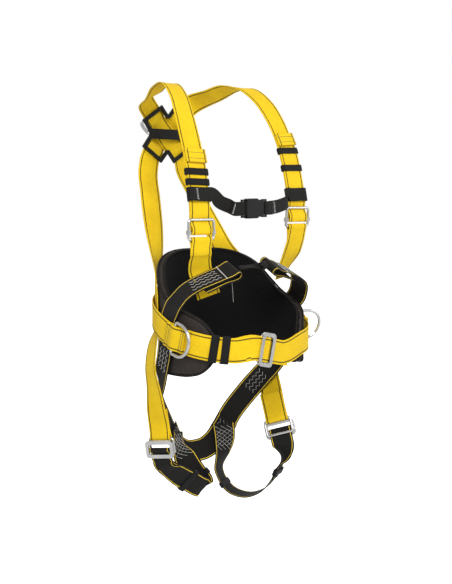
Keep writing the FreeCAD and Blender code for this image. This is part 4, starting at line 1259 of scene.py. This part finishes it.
@dataclass
class FrontTie:
    """Narrow tape knotted between the two front eyes."""

    width: float = 12.0
    thick: float = 1.2

    def build(self) -> None:
        """Make the knot and the two short runs."""
        near = rows([((2, -80, 121.5), (0, 0.3, 1)), ((-18, -77, 121), (-0.1, 0.9, 0.4)),
                     ((-44, -72.5, 119), (0.2, 0.78, 0.5))])
        far = rows([((9, -80.6, 121.3), (-0.2, 0.78, 0.5)), ((14, -79.8, 120.9), (-0.2, 0.78, 0.5)),
                    ((20, -79, 120.5), (-0.2, 0.78, 0.5))])
        right = sweep("tie_tape_right", Route(near, self.width), self.thick, 3.0)
        dress(right, CHEST_TAPE, ROOT, "front_tie")
        left = sweep("tie_tape_left", Route(far, self.width), self.thick, 3.0)
        dress(left, CHEST_TAPE, ROOT)
        coil = []
        for k in range(26):
            turn = 2 * math.pi * 1.6 * k / 25
            coil.append((Vector((1 + 10 * k / 25, -81 - 5.0 * math.cos(turn),
                                 121 + 6.6 * math.sin(turn))),
                         Vector((1, 0.25 * math.sin(turn), 0.2))))
        knot = sweep("tie_knot", Route(coil, self.width * 0.75), self.thick * 1.4, 2.0)
        dress(knot, CHEST_TAPE, ROOT)


@dataclass
class LumbarPad:
    """Padded back support: leather cloth outside, spacer mesh inside, piped rim."""

    thick: float = 13.0
    air: float = 8.2
    swell: float = 2.0
    spread: float = 0.8
    skin: float = 0.6
    voxel: float = 4.2
    pressure: float = 4.0
    frames: int = 20
    outline: list[tuple[float, float, float]] = fixed([
        (0, -66, 148), (22, -67, 145), (40, -70, 134), (56, -72, 116), (70, -74, 90),
        (84, -75, 66), (98, -75, 48), (112, -73, 37), (124, -66, 25), (133, -50, 6),
        (138, -34, -12)])

    def edges(self) -> Route:
        """Lower and upper edge against plan angle; a route's points stand for the angles."""
        table = [(-a, lo, hi) for a, lo, hi in self.outline[:0:-1]] + self.outline
        stops = [(Vector((a, 0, 0)), Vector((0, 0, 1))) for a, _, _ in table]
        return Route(stops, spans=[(lo, hi) for _, lo, hi in table])

    def surface(self, angle: float, height: float, depth: float) -> Vector:
        """A point of the pad by plan angle, height and depth in from its outside."""
        x, y = WAIST.point(-angle, self.air + depth)
        return Vector((x, y, height))

    def rim(self, depth: float, inset: float) -> list[Vector]:
        """The pad's outline as a closed line."""
        spots = self.edges().spots(4.0)
        top = [self.surface(s.point.x, s.high - inset, depth) for s in spots]
        low = [self.surface(s.point.x, s.low + inset, depth) for s in spots]
        first, last = spots[0], spots[-1]
        ends = []
        for spot, sign in ((last, 1), (first, -1)):
            gap = spot.high - spot.low - 2 * inset
            steps = 5
            ends.append([self.surface(spot.point.x + sign * (2.2 * math.sin(math.pi * k / steps)
                                                             - inset * 0.35),
                                      spot.high - inset - gap * k / steps, depth)
                         for k in range(1, steps)])
        return top + ends[0] + low[::-1] + ends[1][::-1]

    def build(self) -> None:
        """Make the pad, swell it, then pipe and stitch it."""
        pad = self.blank()
        self.puff(pad)
        self.paint(pad)
        dress(pad, LEATHER, ROOT, "lumbar_pad_cover", "lumbar_pad_foam", "lumbar_pad_lining")
        for name, depth in (("inner", self.thick - 1.3), ("outer", 1.3)):
            sewn(f"pad_piping_{name}", [self.rim(depth, 2.0)], 2.1, PIPING, closed=True, sides=10)
        seam = self.rim(-0.1, 11.0)
        dashes = [[seam[k], seam[k + 1]] for k in range(0, len(seam) - 1, 2)]
        sewn("pad_seam", dashes, 0.3, PIPING)
        line = [self.surface(28.0 + 1.5 * k / 12, 78 - 40 * k / 12, self.thick + 1.6)
                for k in range(13)]
        sewn("lining_stitches", [line], 0.4, GREY_THREAD)

    def blank(self) -> bpy.types.Object:
        """The pad's closed shape before it swells."""
        spots = self.edges().spots(5.0)
        ups = 24
        verts, faces = [], []
        for depth in (self.skin, self.thick - self.skin):
            for spot in spots:
                low, high = spot.low - self.spread, spot.high + self.spread
                verts += [self.surface(spot.point.x, low + (high - low) * k / ups, depth)
                          for k in range(ups + 1)]
        row, layer = ups + 1, (ups + 1) * len(spots)
        for i in range(len(spots) - 1):
            for k in range(ups):
                a, b = i * row + k, (i + 1) * row + k
                faces.append((a, b, b + 1, a + 1))
                faces.append((layer + a + 1, layer + b + 1, layer + b, layer + a))
            for k in (0, ups):
                a, b = i * row + k, (i + 1) * row + k
                faces.append((a, layer + a, layer + b, b))
        for i in (0, len(spots) - 1):
            for k in range(ups):
                a = i * row + k
                faces.append((a, a + 1, layer + a + 1, layer + a))
        pad = outward(new_piece("lumbar_pad", verts, faces))
        remesh = pad.modifiers.new("remesh", "REMESH")
        remesh.mode = "VOXEL"
        remesh.voxel_size = self.voxel * MM
        return settled(pad)

    def puff(self, pad: bpy.types.Object) -> None:
        """Swell the pad as cloth under pressure, then hold each point near its start."""
        start = [v.co.copy() for v in pad.data.vertices]
        cloth = pad.modifiers.new("cloth", "CLOTH")
        cloth.settings.use_pressure = True
        cloth.settings.uniform_pressure_force = self.pressure
        cloth.settings.effector_weights.gravity = 0.0
        cloth.settings.quality = 4
        scene = bpy.context.scene
        for number in range(1, self.frames + 1):
            scene.frame_set(number)
        settled(pad)
        scene.frame_set(1)
        cap = self.swell * MM
        for vertex, place in zip(pad.data.vertices, start):
            shift = vertex.co - place
            if shift.length > cap:
                vertex.co = place + shift * (cap / shift.length)

    def paint(self, pad: bpy.types.Object) -> None:
        """Spacer mesh on the side towards the wearer and leather cloth on the rest."""
        smooth = pad.modifiers.new("smooth", "SMOOTH")
        smooth.factor = 0.5
        smooth.iterations = 4
        finer = pad.modifiers.new("finer", "SUBSURF")
        finer.levels = finer.render_levels = 1
        settled(pad)
        pad.data.materials.clear()
        pad.data.materials.append(LEATHER.material())
        pad.data.materials.append(LINING.material())
        for face in pad.data.polygons:
            face.use_smooth = True
            flat = Vector((face.center.x, face.center.y, 0)).normalized()
            inward = face.normal.dot(flat) < -0.35
            face.material_index = 1 if inward else 0


class Fittings:
    """Finishes of the metal and plastic solids."""

    steel = ("dorsal_d_ring", "side_d_ring_", "adjuster_frame_", "adjuster_bar_", "belt_buckle_",
             "leg_buckle_")
    moulded = {"dorsal_plate": PLATE, "chest_socket": BUCKLE, "chest_plug": BUCKLE}

    def finish_for(self, name: str) -> Finish | None:
        """The finish of a solid, or None where a soft piece stands for it."""
        if name in self.moulded:
            return self.moulded[name]
        return STEEL if name.startswith(self.steel) else None

    def build(self, nodes: dict[str, bpy.types.Object]) -> None:
        """Give each solid its finish.

        Args:
            nodes: Solids by name.
        """
        for name, solid in sorted(nodes.items()):
            finish = self.finish_for(name)
            if finish is None:
                continue
            solid.data.materials.clear()
            solid.data.materials.append(finish.material())
            log.info("%s: %s", name, finish.name)


@dataclass
class Studio:
    """Pale floor, soft light and the camera."""

    azimuth: float = -40.0
    elevation: float = 5.0
    distance: float = 1.99
    target: tuple[float, float, float] = (-0.008, 0.007, 0.068)
    floor: float = -0.62
    ambient: float = 0.56

    def build(self) -> None:
        """Set up the floor, lights, world and camera."""
        scene = bpy.context.scene
        scene.view_settings.view_transform = "Standard"
        floor = new_piece("floor", [Vector((x, y, self.floor * 1000)) for x, y in (
            (-9000, -9000), (9000, -9000), (9000, 9000), (-9000, 9000))], [(0, 1, 2, 3)])
        pale = bpy.data.materials.new("pale floor")
        pale.use_nodes = True
        shader = pale.node_tree.nodes["Principled BSDF"]
        shader.inputs["Base Color"].default_value = (0.8, 0.8, 0.8, 1)
        shader.inputs["Roughness"].default_value = 0.9
        shader.inputs["Emission Color"].default_value = (1, 1, 1, 1)
        rays = Wiring(pale.node_tree).add("ShaderNodeLightPath")
        pale.node_tree.links.new(rays.outputs["Is Camera Ray"], shader.inputs["Emission Strength"])
        floor.data.materials.append(pale)
        world = bpy.data.worlds.new("studio")
        world.use_nodes = True
        world.node_tree.nodes["Background"].inputs["Color"].default_value = (1, 1, 1, 1)
        sky = Wiring(world.node_tree)
        seen = sky.add("ShaderNodeLightPath").outputs["Is Camera Ray"]
        strength = sky.math("ADD", sky.math("MULTIPLY", seen, 1.0 - self.ambient), self.ambient)
        world.node_tree.links.new(strength, world.node_tree.nodes["Background"].inputs["Strength"])
        scene.world = world
        self.lamp("key", (-1.5, -2.2, 1.7), 1.3, 66.0)
        self.lamp("fill", (1.9, -1.6, 0.9), 1.8, 17.0)
        self.lamp("rim", (0.6, 2.2, 1.8), 1.4, 12.0)
        camera = bpy.data.objects.new("camera", bpy.data.cameras.new("camera"))
        scene.collection.objects.link(camera)
        turn, lift = math.radians(self.azimuth), math.radians(self.elevation)
        aim = Vector(self.target)
        away = Vector((math.sin(turn) * math.cos(lift), -math.cos(turn) * math.cos(lift),
                       math.sin(lift)))
        camera.location = aim + away * self.distance
        camera.rotation_euler = (-away).to_track_quat("-Z", "Y").to_euler()
        camera.data.lens = 65.0
        scene.camera = camera

    def lamp(self, name: str, place: tuple[float, float, float], size: float,
             power: float) -> None:
        """Add a soft lamp that faces the harness.

        Args:
            name: Lamp name.
            place: Where it stands, in metres.
            size: Side of its square.
            power: Watts.
        """
        data = bpy.data.lights.new(name, "AREA")
        data.shape = "SQUARE"
        data.size = size
        data.energy = power
        lamp = bpy.data.objects.new(name, data)
        lamp.location = place
        aim = Vector(self.target) - Vector(place)
        lamp.rotation_euler = aim.to_track_quat("-Z", "Y").to_euler()
        bpy.context.scene.collection.objects.link(lamp)


def main() -> None:
    """Build the harness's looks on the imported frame."""
    logging.basicConfig(level=logging.INFO, format="%(name)s %(message)s")
    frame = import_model()
    Fittings().build(frame["nodes"])
    for part in (ShoulderStraps(), FrontStraps(), HipStraps(), SeatAndLegs(), WaistBelt(),
                 ChestStrap(), FrontTie(), LumbarPad(), Studio()):
        part.build()


if __name__ == "__main__":
    main()
